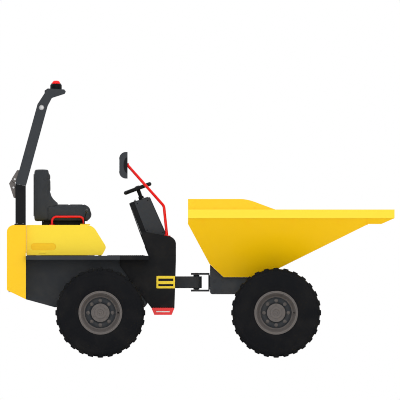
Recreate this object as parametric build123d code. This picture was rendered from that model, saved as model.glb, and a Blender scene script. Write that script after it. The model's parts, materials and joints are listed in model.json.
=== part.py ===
"""Pivot-steered site dumper with a forward-tipping skip and a folding roll-over hoop.

Millimetres. +X is the direction of travel, +Y the driver's left, +Z up; the ground is z = 0 and x = 0 is
halfway between the tail and the skip's spout. Outlines are drawn in the X-Z plane and given a width in Y.
"""

import os
from math import atan2, cos, degrees, hypot, pi, radians, sin, tan

from build123d import *

# ---------------------------------------------------------------- driving dimensions
gap = 0.3                     # round pins in their holes, and seats between bodies
running_gap = 5.0             # between pieces that pass each other

# stations along the machine
tail_x = -1937.0
spout_x = 1937.0
pivot_x = -43.0               # vertical articulation pin
rear_axle_back = 960.0        # rear axle behind the articulation pin
front_axle_ahead = 797.0      # front axle ahead of the articulation pin

# wheels
tyre_radius = 450.0           # to the lugs' tips
tyre_width = 310.0
lug_count = 28
lug_height = 12.0
lug_length = 45.0             # round the tread, at the lug's tip
lug_root = 1.25               # a lug's length at its root over that at its tip
shoulder_width = 25.0
shoulder_scale = 0.92         # radii at the side wall over those at the tread's edge
bead_flare = 66.0             # from the rim's seat out to the side wall's foot
bead_flats = 56
wheel_track = 1340.0
rim_radius = 219.0
rim_width = 250.0
rim_wall = 24.0
disc_radius = 155.0
disc_thickness = 24.0
hub_radius = 92.0
hub_reach = 62.0              # hub cap's face, outward from the wheel's middle plane
hub_cap_length = 26.0
axle_tube_radius = 50.0
axle_end_radius = 80.0
axle_end_length = 60.0
differential_radius = 120.0
differential_width = 240.0

# rear frame
frame_inner = 270.0
side_plate = 20.0
frame_bottom = 505.0
deck_height = 1020.0
deck_plate = 40.0
deck_half_width = 620.0
bay_half_width = 262.0        # opening in the deck over the engine
bay_end_x = -1010.0
tail_length = 190.0           # tail block, front to back
tail_half_width = 540.0
tail_top = deck_height + 307.0
tail_bottom_back = 676.0
tail_bottom_front = 584.0
tail_top_radius = 70.0
lamp_y = 430.0                # middle of each tail lamp and reflector
lamp_half_width = 62.0
lamp_z = (tail_top - 267.0, tail_top - 97.0)
lamp_pocket = 30.0
lamp_face = 6.0               # lamp's face inside the tail's back
reflector_z = tail_top - 342.0
reflector_radius = 36.0
reflector_pocket = 9.0
frame_knee_x = -1459.0        # where the sloping tail end of the frame meets its level bottom
cross_plate_x = -560.0        # rear face of the frame's front cross plate
cross_plate = 30.0
belly_plate = 16.0
saddle_length = 120.0

# tail pocket, grille and towing jaw
pocket_depth = 90.0
pocket_half_width = 300.0
pocket_top = tail_top - 127.0
jaw_depth = 110.0
jaw_half_width = 80.0
jaw_floor_top = 705.0
jaw_roof = 765.0
jaw_roof_top = 822.0
tow_pin_inset = 32.0
tow_pin_radius = 16.0
slat_count = 8
slat_thickness = 14.0
slat_depth = 20.0
hitch_bolt_radius = 9.0
hitch_bolt_y = 160.0          # half of the bolt spacing across
hitch_bolt_z = 45.0           # half of the bolt spacing up
hitch_bolt_middle = 755.0
hitch_bolt_depth = 60.0

# front module below the driver's feet
module_rear_x = -808.0
module_front_x = -247.0
module_bottom = 497.0
module_bottom_rear_x = -492.0
module_bottom_front_x = -262.0
console_foot_x = -517.0

# articulation
tongue_height = 755.0         # middle of the tongue, and the roll axis
tongue_depth = 118.0
tongue_half_width = 60.0
boss_radius = 54.0
collar_radius = 30.0
pin_radius = 20.0
fork_plate = 19.0
fork_gap = 15.0               # fork plate to tongue
fork_reach = 54.0             # fork plates behind the pin
fork_half_width = 75.0
yoke_back_x = 76.0
yoke_back = 12.0
yoke_back_half_width = 150.0
trunnion_radius = 50.0
trunnion_nut_radius = 62.0
steer_eye_y = 180.0
steer_base_x = -470.0

# front frame
front_plate_inner = 330.0
front_plate = 20.0
front_bottom = tongue_height - 120.0
skip_pivot_x = 905.0
skip_pivot_z = tongue_height - 65.0
skip_pin_radius = 22.0
bracket_back_x = skip_pivot_x - 285.0
bracket_front_x = skip_pivot_x - 125.0
eye_lug_reach = 34.0          # lug's edge from the eye's middle
front_nose_radius = 60.0
trunnion_block = 47.0
tip_base_x = 215.0
tip_base_z = tongue_height - 55.0
tip_eye_x = 700.0
tip_eye_z = tongue_height + 30.0

# skip
sheet = 8.0
rim_bottom = 1395.0
rim_top = 1482.0
rim_bar = 70.0
rim_half_width = 870.0
tub_inset = 20.0              # tub's outside at the rim's underside, in from the rim's outer face
floor_half_width = 400.0
skip_back_x = -127.0
knee_z = 1337.0
heel_x = 89.0
heel_z = tongue_height + 181.0
floor_back_x = 228.0
floor_z = tongue_height + 51.0
floor_front_x = 603.0
slope_top_x = 1676.0
lip_x = 1805.0
guard_top = 1587.0
guard_level_x = 462.0
guard_corner_z = 1587.0
guard_front_x = 746.0
guard_bend_radius = 420.0
guard_inset = 20.0            # guard wings in from the rim's outer face

# engine cover and seat
cover_half_width = 470.0
cover_skin = 20.0
cover_top = tail_top
cover_top_x = -1080.0
cover_bend_radius = 110.0
cover_brow_x = -942.0
cover_brow_z = deck_height + 86.0
cover_foot_x = -985.0
cover_brow_radius = 45.0
cover_foot_radius = 25.0
cover_hinge_radius = 10.0
recess_x = (-1698.0, -1446.0)
recess_z = (deck_height + 55.0, deck_height + 125.0)
recess_depth = 6.0
engine_x = (-1600.0, -1130.0)
engine_half_width = 200.0
engine_z = (610.0, cover_top - cover_skin - 67.0)
radiator_x = (-1700.0, -1645.0)
radiator_half_width = 230.0
radiator_z = (640.0, cover_top - 177.0)
seat_half_width = 240.0
seat_back_x = -1669.0
seat_back_front_x = -1508.0
seat_front_x = -1089.0
seat_top = deck_height + 865.0
seat_cushion_top = deck_height + 507.0
plinth_top = deck_height + 345.0
plinth_x = (-1587.0, -1172.0)
plinth_half_width = 190.0
rail_tube_radius = 11.0
rail_x = (-1486.0, -1168.0)
rail_top = deck_height + 401.0
rail_y = 268.0
rail_bend_radius = 46.0

# console
cowl_half_width = 300.0
tower_half_width = 200.0
console_skin = 8.0
tower_back_x = -712.0
tower_back_z = deck_height + 523.0
tower_front_x = -511.0
tower_front_z = deck_height + 585.0
tower_foot_x = -349.0
cowl_step_x = -547.0
cowl_step_z = deck_height + 237.0
cowl_brow_x = -330.0
cowl_brow_z = deck_height + 197.0
cowl_nose_z = deck_height + 182.0
cowl_nose_radius = 80.0
panel_back_top_x = -664.0
panel_back_top_z = deck_height + 539.0
panel_thickness = 6.0
steering_wheel_radius = 143.0
steering_rim_radius = 16.5
steering_wheel_x = -630.0
steering_wheel_z = deck_height + 672.0
column_tilt = 20.5
column_radius = 15.0

# roll-over hoop
hoop_top = tail_top + 1365.0
beam_depth = 82.0             # from the hoop's top down to the back of its roof beam
beam_front_z = hoop_top - 32.0
post_inner = 445.0
post_outer = 515.0
post_x = (-1851.0, -1748.0)
split_back_z = tail_top + 411.0
split_front_z = tail_top + 392.0
fold_x = -1858.0
fold_z = tail_top + 458.0
lock_x = -1871.0
lock_z = tail_top + 375.0
fold_pin_radius = 10.0
knuckle_radius = 14.0
knuckle_plate = 20.0
ear_plate = 10.0
ear_gap = 4.0
cross_rail_x = -1590.0
cross_rail_z = hoop_top - 191.0
cross_rail_radius = 18.0
rail_cap_radius = 25.0
beacon_x = -1446.0
beacon_radius = 58.0
beacon_base_top = hoop_top + 43.0
beacon_foot_z = beam_front_z  # buried in the beam's front
dome_radius = 42.0
dome_height = 36.0

# mirrors, steps and guards
arm_radius = 14.0
arm_foot = (-334.0, 240.0)
arm_bend = (-368.0, 262.0, 1517.0)
arm_end_z = 1929.0
arm_bend_radius = 60.0
mirror_y = 480.0
mirror_back_x = -731.0        # flat back of the mirror head
mirror_depth = 83.0
mirror_z = (1791.0, 2057.0)
mirror_half_width = 85.0
mirror_corner = 66.0
step_x = (-492.0, -262.0)
step_inset = 28.0
step_bottom = 429.0
step_outer = 430.0
guard_plate = 6.0
guard_x = (-442.0, -257.0)
guard_z = (694.0, 818.0)
guard_slot_x = (-424.0, -274.0)
guard_slots_z = ((716.0, 737.0), (767.0, 792.0))

# ---------------------------------------------------------------- values worked out from them
rear_axle_x = pivot_x - rear_axle_back
front_axle_x = pivot_x + front_axle_ahead
axle_z = tyre_radius
tail_front_x = tail_x + tail_length
frame_outer = frame_inner + side_plate
tongue_bottom = tongue_height - tongue_depth / 2
tongue_top = tongue_height + tongue_depth / 2
fork_low = tongue_bottom - fork_gap
fork_high = tongue_top + fork_gap
cross_plate_front = cross_plate_x + cross_plate
front_frame_x = yoke_back_x + yoke_back + running_gap
nut_x = front_frame_x + trunnion_block + running_gap
front_plate_outer = front_plate_inner + front_plate
tub_half_width = rim_half_width - tub_inset
flare = (tub_half_width - floor_half_width) / (rim_bottom - floor_z)
slope = (knee_z - floor_z) / (slope_top_x - floor_front_x)
cover_bottom = deck_height + running_gap
cover_back_x = tail_front_x + running_gap
cover_foot_angle = pi - atan2(cover_brow_z - cover_bottom, cover_brow_x - cover_foot_x)
cover_hinge_x = cover_foot_x - cover_foot_radius / tan(cover_foot_angle / 2)
cover_hinge_z = cover_bottom + cover_foot_radius
cowl_slope = (cowl_step_z - cowl_brow_z) / (cowl_brow_x - cowl_step_x)
console_lean = (console_foot_x - tower_back_x) / (tower_back_z - deck_height)
post_middle = (post_inner + post_outer) / 2
mirror_middle_z = (mirror_z[0] + mirror_z[1]) / 2


# ---------------------------------------------------------------- helpers
def outline(corners):
    """Closed face from corners (u, v) or (u, v, radius)."""
    points = [(c[0], c[1]) for c in corners]
    radii = [c[2] if len(c) > 2 else 0 for c in corners]
    if not any(radii):
        return make_face(Polyline(*points, close=True))
    return make_face(FilletPolyline(*points, radius=radii, close=True))


def prism(corners, y_low, y_high):
    """Outline in X-Z carried from y_low to y_high."""
    plane = Plane(origin=(0, y_high, 0), x_dir=(1, 0, 0), z_dir=(0, -1, 0))
    return extrude(plane * outline(corners), amount=y_high - y_low)


def plan_prism(corners, z_low, z_high):
    """Outline in X-Y carried from z_low to z_high."""
    return extrude(Pos(0, 0, z_low) * outline(corners), amount=z_high - z_low)


def block(x_range, y_range, z_range):
    """Box between the given limits, each in either order."""
    ranges = [sorted(limits) for limits in (x_range, y_range, z_range)]
    size = [high - low for low, high in ranges]
    middle = [(high + low) / 2 for low, high in ranges]
    return Pos(*middle) * Box(*size)


def rod_between(start, end, radius):
    """Round bar from one point to another."""
    start, end = Vector(*start), Vector(*end)
    along = end - start
    return extrude(Plane(origin=start, z_dir=along) * Circle(radius), amount=along.length)


def cross_rod(x, z, y_low, y_high, radius):
    """Round bar along Y."""
    return rod_between((x, y_low, z), (x, y_high, z), radius)


def both_sides(shape):
    """The shape and its mirror image in the machine's middle plane."""
    return [shape, mirror(shape, about=Plane.XZ)]


def bent_tube(points, bend_radius, radius):
    """Round tube along straight runs joined by arcs."""
    path = FilletPolyline(*points, radius=bend_radius)
    return sweep(Plane(origin=path @ 0, z_dir=path % 0) * Circle(radius), path=path)


def save(name, *shapes):
    """Write one node; several shapes stay separate solids."""
    solids = [solid for shape in shapes for solid in shape.solids()]
    shape = solids[0] if len(solids) == 1 else Compound(children=solids)
    export_step(shape, os.path.join("parts", name + ".step"))


# ---------------------------------------------------------------- wheels and axles
def turned(section, axle_x, middle_y, out):
    """Section (outward, radius) turned about a wheel's axle; out is +1 on the left, -1 on the right."""
    face = make_face(Polyline(*[(out * across, radius) for across, radius in section], close=True))
    return Pos(axle_x, middle_y, axle_z) * revolve(Plane.YZ * face, axis=Axis.Y)


def tread_line():
    """Corners (radius, angle) round the lugs, whose flat tips reach the tyre's radius."""
    half_lug = lug_length / 2 / tyre_radius
    root, tip = tyre_radius - lug_height, tyre_radius / cos(half_lug)
    corners = []
    for n in range(lug_count):
        middle = 2 * pi * n / lug_count
        corners += [(root, middle - lug_root * half_lug), (tip, middle - half_lug),
                    (tip, middle + half_lug), (root, middle + lug_root * half_lug)]
    return corners


def bead_line(radius):
    """Corners (radius, angle) of a flat-sided ring just outside a circle."""
    return [(radius / cos(pi / bead_flats), 2 * pi * n / bead_flats) for n in range(bead_flats)]


def ring_points(corners, across):
    """Corners (radius, angle) as points about the axle, at a distance outward."""
    return [Vector(radius * sin(angle), across, axle_z - radius * cos(angle)) for radius, angle in corners]


def flats(first, second):
    """Flat four-cornered faces between two rings of equally many points."""
    count = len(first)
    return [Face(Wire.make_polygon([first[n], first[(n + 1) % count], second[(n + 1) % count], second[n]]))
            for n in range(count)]


def tyre():
    """Tyre on an axle at x = 0, y = 0, its skin all of flat faces: tread, shoulders, side walls, beads and bore."""
    half, edge, bead = tyre_width / 2, tyre_width / 2 - shoulder_width, rim_width / 2
    tread = tread_line()
    shoulder = [(radius * shoulder_scale, angle) for radius, angle in tread]
    seat, foot = bead_line(rim_radius - 6), bead_line(rim_radius - 6 + bead_flare)
    faces = flats(ring_points(tread, -edge), ring_points(tread, edge))
    faces += flats(ring_points(seat, -bead), ring_points(seat, bead))
    for side in (-1, 1):
        outer, inner = ring_points(shoulder, side * half), ring_points(foot, side * half)
        faces += flats(ring_points(tread, side * edge), outer)
        faces += flats(inner, ring_points(seat, side * bead))
        faces.append(Face(Wire.make_polygon(outer), [Wire.make_polygon(inner)]))
    return Solid(Shell(faces))


def wheel(axle_x, middle_y, out):
    """Rim, dished disc and hub cap in one piece."""
    bead, seat = rim_width / 2, rim_radius - 6 - gap
    dish = hub_reach - hub_cap_length
    inside = dish - disc_thickness
    section = [(inside, 0), (hub_reach, 0), (hub_reach, hub_radius), (dish, hub_radius), (dish, disc_radius),
               (dish + 10, disc_radius + 12), (bead - 20, rim_radius - 34), (bead + 10, rim_radius - 22),
               (bead + 10, rim_radius), (bead, seat), (-bead, seat), (-bead, seat - rim_wall),
               (inside, seat - rim_wall)]
    return turned(section, axle_x, middle_y, out)


def axle(axle_x, saddle_low_y, saddle_high_y, saddle_top):
    """Axle tube with differential, hub bearings and saddles for the frame's plates."""
    reach = wheel_track / 2 + hub_reach - hub_cap_length - disc_thickness - gap
    shape = cross_rod(axle_x, axle_z, -reach, reach, axle_tube_radius)
    shape += cross_rod(axle_x, axle_z, -differential_width / 2, differential_width / 2, differential_radius)
    for side in (-1, 1):
        ends = sorted((side * reach, side * (reach - axle_end_length)))
        shape += cross_rod(axle_x, axle_z, *ends, axle_end_radius)
        shape += block((axle_x - saddle_length / 2, axle_x + saddle_length / 2),
                       (side * saddle_low_y, side * saddle_high_y), (axle_z, saddle_top))
    return shape


# ---------------------------------------------------------------- rear frame
def rear_frame():
    """Side plates with sloping tail ends, joined by a belly plate and the front cross plate."""
    corners = [(tail_front_x, deck_height - deck_plate), (tail_front_x, tail_bottom_front),
               (frame_knee_x, frame_bottom), (cross_plate_x, frame_bottom),
               (cross_plate_front, frame_bottom + 40), (cross_plate_front, deck_height - deck_plate)]
    plate = prism(corners, frame_inner, frame_outer)
    belly_end = rear_axle_x - differential_radius - 45
    belly = prism([(tail_front_x, tail_bottom_front), (frame_knee_x, frame_bottom), (belly_end, frame_bottom),
                   (belly_end, frame_bottom + belly_plate), (frame_knee_x + 2, frame_bottom + belly_plate),
                   (tail_front_x, tail_bottom_front + belly_plate)], -frame_inner, frame_inner)
    cross = block((cross_plate_x, cross_plate_front), (-frame_inner, frame_inner),
                  (frame_bottom + 60, deck_height - deck_plate))
    left, right = both_sides(plate)
    return left + right + belly + cross


def tail_block():
    """Tail casting with a grille pocket, a towing jaw and threaded holes for a hitch plate."""
    shape = prism([(tail_x, tail_bottom_back), (tail_front_x, tail_bottom_front), (tail_front_x, tail_top),
                   (tail_x, tail_top, tail_top_radius)], -tail_half_width, tail_half_width)
    shape -= block((tail_x - 1, tail_x + pocket_depth), (-pocket_half_width, pocket_half_width),
                   (jaw_roof_top, pocket_top))
    shape -= block((tail_x - 1, tail_x + jaw_depth), (-jaw_half_width, jaw_half_width), (jaw_floor_top, jaw_roof))
    shape -= Pos(tail_x + tow_pin_inset, 0, 700) * Cylinder(tow_pin_radius, 400)
    for y in (-lamp_y, lamp_y):
        shape -= block((tail_x - 1, tail_x + lamp_pocket), (y - lamp_half_width, y + lamp_half_width), lamp_z)
        shape -= rod_between((tail_x - 1, y, reflector_z), (tail_x + reflector_pocket, y, reflector_z),
                             reflector_radius)
    for y in (-1, 1):
        for z in (-1, 1):
            height = hitch_bolt_middle + z * hitch_bolt_z
            across = y * hitch_bolt_y
            shape -= rod_between((tail_x - 1, across, height), (tail_x + hitch_bolt_depth, across, height),
                                 hitch_bolt_radius)
    return shape


def tail_lamps():
    """Lamp clusters set in the tail's pockets, their faces just inside the tail's back."""
    inset = 0.5
    return both_sides(block((tail_x + lamp_face, tail_x + lamp_pocket),
                            (lamp_y - lamp_half_width + inset, lamp_y + lamp_half_width - inset),
                            (lamp_z[0] + inset, lamp_z[1] - inset)))


def tow_pin():
    """Drop pin through the towing jaw, its head on the pocket's floor."""
    x = tail_x + tow_pin_inset
    shape = rod_between((x, 0, tail_bottom_back - 20), (x, 0, jaw_roof_top), tow_pin_radius - gap)
    shape += rod_between((x, 0, jaw_roof_top), (x, 0, jaw_roof_top + 14), tow_pin_radius + 9)
    handle = bent_tube([(x, -16, jaw_roof_top + 8), (x, -16, jaw_roof_top + 60), (x, 16, jaw_roof_top + 60),
                        (x, 16, jaw_roof_top + 8)], 12, 5)
    return shape + handle


def tail_grille():
    """Level slats at the back of the pocket, joined by two uprights."""
    front_x = tail_x + pocket_depth
    pitch = (pocket_top - jaw_roof_top) / slat_count
    shape = None
    for side in (-1, 1):
        middle = side * pocket_half_width / 2
        upright = block((front_x - slat_depth / 2, front_x), (middle - 8, middle + 8), (jaw_roof_top, pocket_top))
        shape = upright if shape is None else shape + upright
    for n in range(slat_count):
        middle = jaw_roof_top + pitch * (n + 0.5)
        shape += block((front_x - slat_depth, front_x), (-pocket_half_width, pocket_half_width),
                       (middle - slat_thickness / 2, middle + slat_thickness / 2))
    return shape


def rear_deck():
    """Deck over the rear wheels with the engine opening, cover stops and the cover's hinge posts."""
    low = deck_height - deck_plate
    plate = block((tail_front_x, module_rear_x), (-deck_half_width, deck_half_width), (low, deck_height))
    plate -= block((tail_front_x + 30, bay_end_x), (-bay_half_width, bay_half_width), (low - 1, deck_height + 1))
    for side in (-1, 1):
        plate += block((cover_back_x + 5, cover_back_x + 65),
                       (side * (cover_half_width - 2), side * (cover_half_width - cover_skin + 2)),
                       (deck_height - 1, cover_bottom - gap))
        wall = cover_half_width - cover_skin
        post = prism([(cover_hinge_x - 24, deck_height - 1), (cover_hinge_x + 8, deck_height - 1),
                      (cover_hinge_x + 14, cover_hinge_z + 14, 10), (cover_hinge_x - 14, cover_hinge_z + 14, 10)],
                     *sorted((side * (wall - running_gap), side * (wall - 25))))
        plate += post
        plate += cross_rod(cover_hinge_x, cover_hinge_z,
                           *sorted((side * (wall - 25), side * (wall + 12))), cover_hinge_radius - gap)
    return plate


def radiator():
    """Radiator block held to the frame's side plates by two ears."""
    shape = block(radiator_x, (-radiator_half_width, radiator_half_width), radiator_z)
    for side in (-1, 1):
        shape += block((radiator_x[0] + 15, radiator_x[1] - 15), (side * (radiator_half_width - 1), side * frame_inner),
                       (radiator_z[0] + 60, deck_height - deck_plate - 40))
    return shape


def engine():
    """Engine and transmission as one plain block on four feet."""
    shape = block(engine_x, (-engine_half_width, engine_half_width), engine_z)
    for side in (-1, 1):
        for x in (engine_x[0] + 80, engine_x[1] - 80):
            shape += block((x - 35, x + 35), (side * (engine_half_width - 1), side * frame_inner),
                           (engine_z[0] + 60, engine_z[0] + 120))
    return shape


# ---------------------------------------------------------------- front module and console
def front_module():
    """Footwell plate, side cheeks, and front plates above and below the tongue."""
    low = deck_height - deck_plate
    outer = frame_outer + side_plate
    shape = block((module_rear_x, module_front_x), (-outer, outer), (low, deck_height))
    shape += block((module_rear_x, console_foot_x), (-deck_half_width, deck_half_width), (low, deck_height))
    run = (module_bottom_rear_x - module_rear_x)
    cheek = prism([(module_rear_x, low + 1), (module_rear_x, module_bottom + 1.34 * run),
                   (module_bottom_rear_x, module_bottom), (module_bottom_front_x, module_bottom),
                   (module_front_x, low), (module_front_x, low + 1)], frame_outer, outer)
    for side in both_sides(cheek):
        shape += side
    lean = (module_front_x - module_bottom_front_x) / (low - module_bottom)

    def front_plate_between(bottom, top):
        x_low, x_high = (module_bottom_front_x + lean * (z - module_bottom) for z in (bottom, top))
        return prism([(x_low - side_plate, bottom), (x_low, bottom), (x_high, top), (x_high - side_plate, top)],
                     -frame_outer - 1, frame_outer + 1)

    shape += front_plate_between(fork_high + fork_plate + 40, low + 1)
    return shape + front_plate_between(module_bottom, fork_low - fork_plate - 45)


def cowl_outline(inset):
    """Cowl's side outline, drawn in from the skin by inset and open at the foot."""
    foot = deck_height - (1 if inset else 0)
    back = console_foot_x + inset
    top_back_x = console_foot_x - (cowl_step_z - deck_height) * console_lean
    top_back_z = cowl_step_z + (cowl_step_x - top_back_x) * cowl_slope
    front = module_front_x - inset
    return [(back, foot), (top_back_x + inset, top_back_z - inset * 1.2), (cowl_brow_x, cowl_brow_z - inset, 30),
            (front, cowl_nose_z - inset, cowl_nose_radius - inset), (front, foot)]


def cowl():
    """Hollow cowl ahead of the driver's feet."""
    inside = cowl_half_width - console_skin
    shape = prism(cowl_outline(0), -cowl_half_width, cowl_half_width)
    return shape - prism(cowl_outline(console_skin), -inside, inside)


def tower_outline(inset):
    """Tower's side outline above the cowl, drawn in by inset and open at the foot."""
    top_back_x = console_foot_x - (cowl_step_z - deck_height) * console_lean
    foot_back_z = cowl_step_z + (cowl_step_x - top_back_x) * cowl_slope
    foot_front_z = cowl_step_z - (tower_foot_x - cowl_step_x) * cowl_slope
    drop = 1 if inset else 0
    return [(top_back_x + inset, foot_back_z - drop), (tower_back_x + 1.2 * inset, tower_back_z - 0.7 * inset),
            (tower_front_x - 0.6 * inset, tower_front_z - 1.3 * inset),
            (tower_foot_x - inset, foot_front_z - drop)]


def tower():
    """Hollow steering tower standing on the cowl."""
    inside = tower_half_width - console_skin
    shape = prism(tower_outline(0), -tower_half_width, tower_half_width)
    return shape - prism(tower_outline(console_skin), -inside, inside)


def tower_panels():
    """Flat grey panels on the tower's two sides."""
    foot_front_z = cowl_step_z - (tower_foot_x - cowl_step_x) * cowl_slope
    panel = prism([(cowl_step_x, cowl_step_z), (panel_back_top_x, panel_back_top_z),
                   (tower_front_x, tower_front_z), (tower_foot_x, foot_front_z)],
                  tower_half_width, tower_half_width + panel_thickness)
    return both_sides(panel)


steering_axis = (-sin(radians(column_tilt)), 0, cos(radians(column_tilt)))


def along_column(distance):
    """Point on the steering axis, distance above the wheel's middle."""
    return (steering_wheel_x + distance * steering_axis[0], 0, steering_wheel_z + distance * steering_axis[2])


def steering_column():
    """Column and boot from the tower's top to the wheel's hub."""
    shape = rod_between(along_column(-200), along_column(-14 - gap), column_radius)
    shape += rod_between(along_column(-200), along_column(-85), column_radius + 12)
    return shape - prism(tower_outline(0), -tower_half_width, tower_half_width)


def steering_wheel():
    """Rim, three spokes and hub."""
    plane = Plane(origin=along_column(0), x_dir=(0, 1, 0), z_dir=steering_axis)
    ring = steering_wheel_radius - steering_rim_radius
    shape = plane * Torus(ring, steering_rim_radius)
    shape += plane * Cylinder(34, 28)
    for turn in (90, 210, 330):
        end = plane.from_local_coords(Vector(ring * cos(radians(turn)), ring * sin(radians(turn)), 0))
        shape += rod_between(along_column(0), tuple(end), 9)
    return shape


# ---------------------------------------------------------------- mirrors, steps and guards
def mirror_arm():
    """Bent tube from the cowl's top to the back of the left mirror head."""
    foot_z = cowl_step_z - (arm_foot[0] - cowl_step_x) * cowl_slope
    tube = bent_tube([(arm_foot[0], arm_foot[1], foot_z - 30), arm_bend,
                      (mirror_back_x - 30, mirror_y, arm_end_z + 30)], arm_bend_radius, arm_radius)
    tube -= prism(cowl_outline(0), -cowl_half_width, cowl_half_width)
    beyond = 2 * mirror_depth
    return tube - block((mirror_back_x - beyond, mirror_back_x), (mirror_y - beyond, mirror_y + beyond),
                        (mirror_z[0] - beyond, mirror_z[1] + beyond))


def mirror_head():
    """Left mirror head: flat back ahead, rounded side to the driver."""
    low, high = mirror_z
    face_x = mirror_back_x - mirror_depth
    return prism([(mirror_back_x, low), (face_x, low, mirror_corner), (face_x, high, mirror_corner),
                  (mirror_back_x, high)], mirror_y - mirror_half_width, mirror_y + mirror_half_width)


def side_step():
    """Left access step hung under the module's cheek."""
    return prism([(step_x[0], module_bottom), (step_x[0] + step_inset, step_bottom),
                  (step_x[1] - step_inset, step_bottom), (step_x[1], module_bottom)], frame_outer, step_outer)


def side_guard():
    """Left slotted guard plate."""
    low = frame_outer + side_plate
    shape = prism([(guard_x[0], guard_z[0], 8), (guard_x[1], guard_z[0], 8), (guard_x[1], guard_z[1], 8),
                   (guard_x[0], guard_z[1], 8)], low, low + guard_plate)
    for slot in guard_slots_z:
        shape -= block(guard_slot_x, (low - 1, low + guard_plate + 1), slot)
    return shape


# ---------------------------------------------------------------- articulation
def tongue():
    """Beam from the cross plate to the articulation pin, with its bored boss and thrust collars."""
    shape = block((cross_plate_front, pivot_x), (-tongue_half_width, tongue_half_width),
                  (tongue_bottom, tongue_top))
    shape = fillet(shape.edges().filter_by(Axis.X), 10)
    shape += Pos(pivot_x, 0, tongue_height) * Cylinder(boss_radius, tongue_depth)
    shape += Pos(pivot_x, 0, tongue_height) * Cylinder(collar_radius, tongue_depth + 2 * (fork_gap - 1))
    return shape - Pos(pivot_x, 0, tongue_height) * Cylinder(pin_radius + gap, 2 * tongue_depth)


def steer_base_bracket():
    """Clevis on the cross plate for the steering cylinder, with its pin."""
    shape = rod_between((steer_base_x, steer_eye_y, tongue_height - 60), (steer_base_x, steer_eye_y,
                        tongue_height + 60), 14 - gap)
    for low in (tongue_height - 52, tongue_height + 32):
        shape += plan_prism([(cross_plate_front, steer_eye_y - 34), (steer_base_x, steer_eye_y - 34, 20),
                             (steer_base_x + 28, steer_eye_y - 20, 14), (steer_base_x + 28, steer_eye_y + 20, 14),
                             (steer_base_x, steer_eye_y + 34, 20), (cross_plate_front, steer_eye_y + 34)],
                            low, low + 20)
    return shape


def yoke():
    """Fork around the tongue with a steering ear, back plate, roll trunnion and retaining nut."""
    ear = 34
    corners = [(yoke_back_x, -fork_half_width), (pivot_x - fork_reach, -fork_half_width, 50),
               (pivot_x - fork_reach, steer_eye_y + ear - 60, 40), (pivot_x - ear, steer_eye_y + ear, 25),
               (pivot_x + ear, steer_eye_y + ear, 25), (yoke_back_x, yoke_back_half_width)]
    shape = block((yoke_back_x, yoke_back_x + yoke_back), (-yoke_back_half_width, yoke_back_half_width),
                  (fork_low - fork_plate, fork_high + fork_plate))
    for low in (fork_low - fork_plate, fork_high):
        shape += plan_prism(corners, low, low + fork_plate)
    shape -= Pos(pivot_x, 0, tongue_height) * Cylinder(pin_radius + gap, 400)
    shape += rod_between((yoke_back_x, 0, tongue_height), (nut_x + 12, 0, tongue_height), trunnion_radius)
    return shape + rod_between((nut_x, 0, tongue_height), (nut_x + 12, 0, tongue_height), trunnion_nut_radius)


def articulation_pin():
    """Vertical pin through fork and tongue."""
    return rod_between((pivot_x, 0, fork_low - fork_plate), (pivot_x, 0, fork_high + fork_plate), pin_radius)


# ---------------------------------------------------------------- front frame
def front_frame():
    """Side plates, rear plate with the trunnion bearing, front tie and the tip cylinder's lugs."""
    top = floor_z - running_gap
    x = front_frame_x
    fall = (heel_z - floor_z) / (floor_back_x - heel_x)
    clear = running_gap * hypot(1, fall)
    ear_top = heel_z - (x - heel_x) * fall - clear
    saddle = saddle_length / 2 + 10
    plate = prism([(x, ear_top), (x + (ear_top - top) / fall, top), (skip_pivot_x - 60, top),
                   (skip_pivot_x + front_nose_radius, skip_pivot_z + front_nose_radius, front_nose_radius),
                   (skip_pivot_x + front_nose_radius, skip_pivot_z - front_nose_radius, front_nose_radius - 8),
                   (front_axle_x + saddle + 30, front_bottom - 5), (front_axle_x + saddle, axle_z + 50),
                   (front_axle_x - saddle, axle_z + 50), (front_axle_x - saddle - 60, front_bottom),
                   (x, front_bottom, 25)], front_plate_inner, front_plate_outer)
    plate -= cross_rod(skip_pivot_x, skip_pivot_z, front_plate_inner - 1, front_plate_outer + 1,
                       skip_pin_radius + gap)
    shape = block((x, x + 30), (-front_plate_inner - 1, front_plate_inner + 1), (front_bottom + 25, top))
    for side in both_sides(plate):
        shape += side
    shape += cross_rod(skip_pivot_x - 240, front_bottom + 30, -front_plate_inner - 1, front_plate_inner + 1, 28)
    shape += rod_between((x, 0, tongue_height), (x + trunnion_block, 0, tongue_height), 45 + trunnion_radius - 15)
    shape = shape & block((x, spout_x), (-front_plate_outer, front_plate_outer), (0, rim_top))
    lug = prism([(x + 20, front_bottom + 25), (x + 20, tip_base_z - 6), (tip_base_x - 30, tip_base_z - 6),
                 (tip_base_x - 20, tip_base_z + 30, 14), (tip_base_x + 34, tip_base_z + 30, 26),
                 (tip_base_x + 34, tip_base_z - 34, 26), (tip_base_x - 20, front_bottom + 25, 10)], 34, 50)
    for side in both_sides(lug):
        shape += side
    shape += cross_rod(tip_base_x, tip_base_z, -56, 56, 18 - gap)
    return shape - rod_between((x - 1, 0, tongue_height), (x + trunnion_block + 1, 0, tongue_height),
                               trunnion_radius + gap)


def skip_pins():
    """Headed pins that carry the skip's brackets."""
    pin = cross_rod(skip_pivot_x, skip_pivot_z, bracket_inner - 6, front_plate_outer, skip_pin_radius)
    pin += cross_rod(skip_pivot_x, skip_pivot_z, front_plate_outer, front_plate_outer + 8, skip_pin_radius + 10)
    return both_sides(pin)


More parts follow.
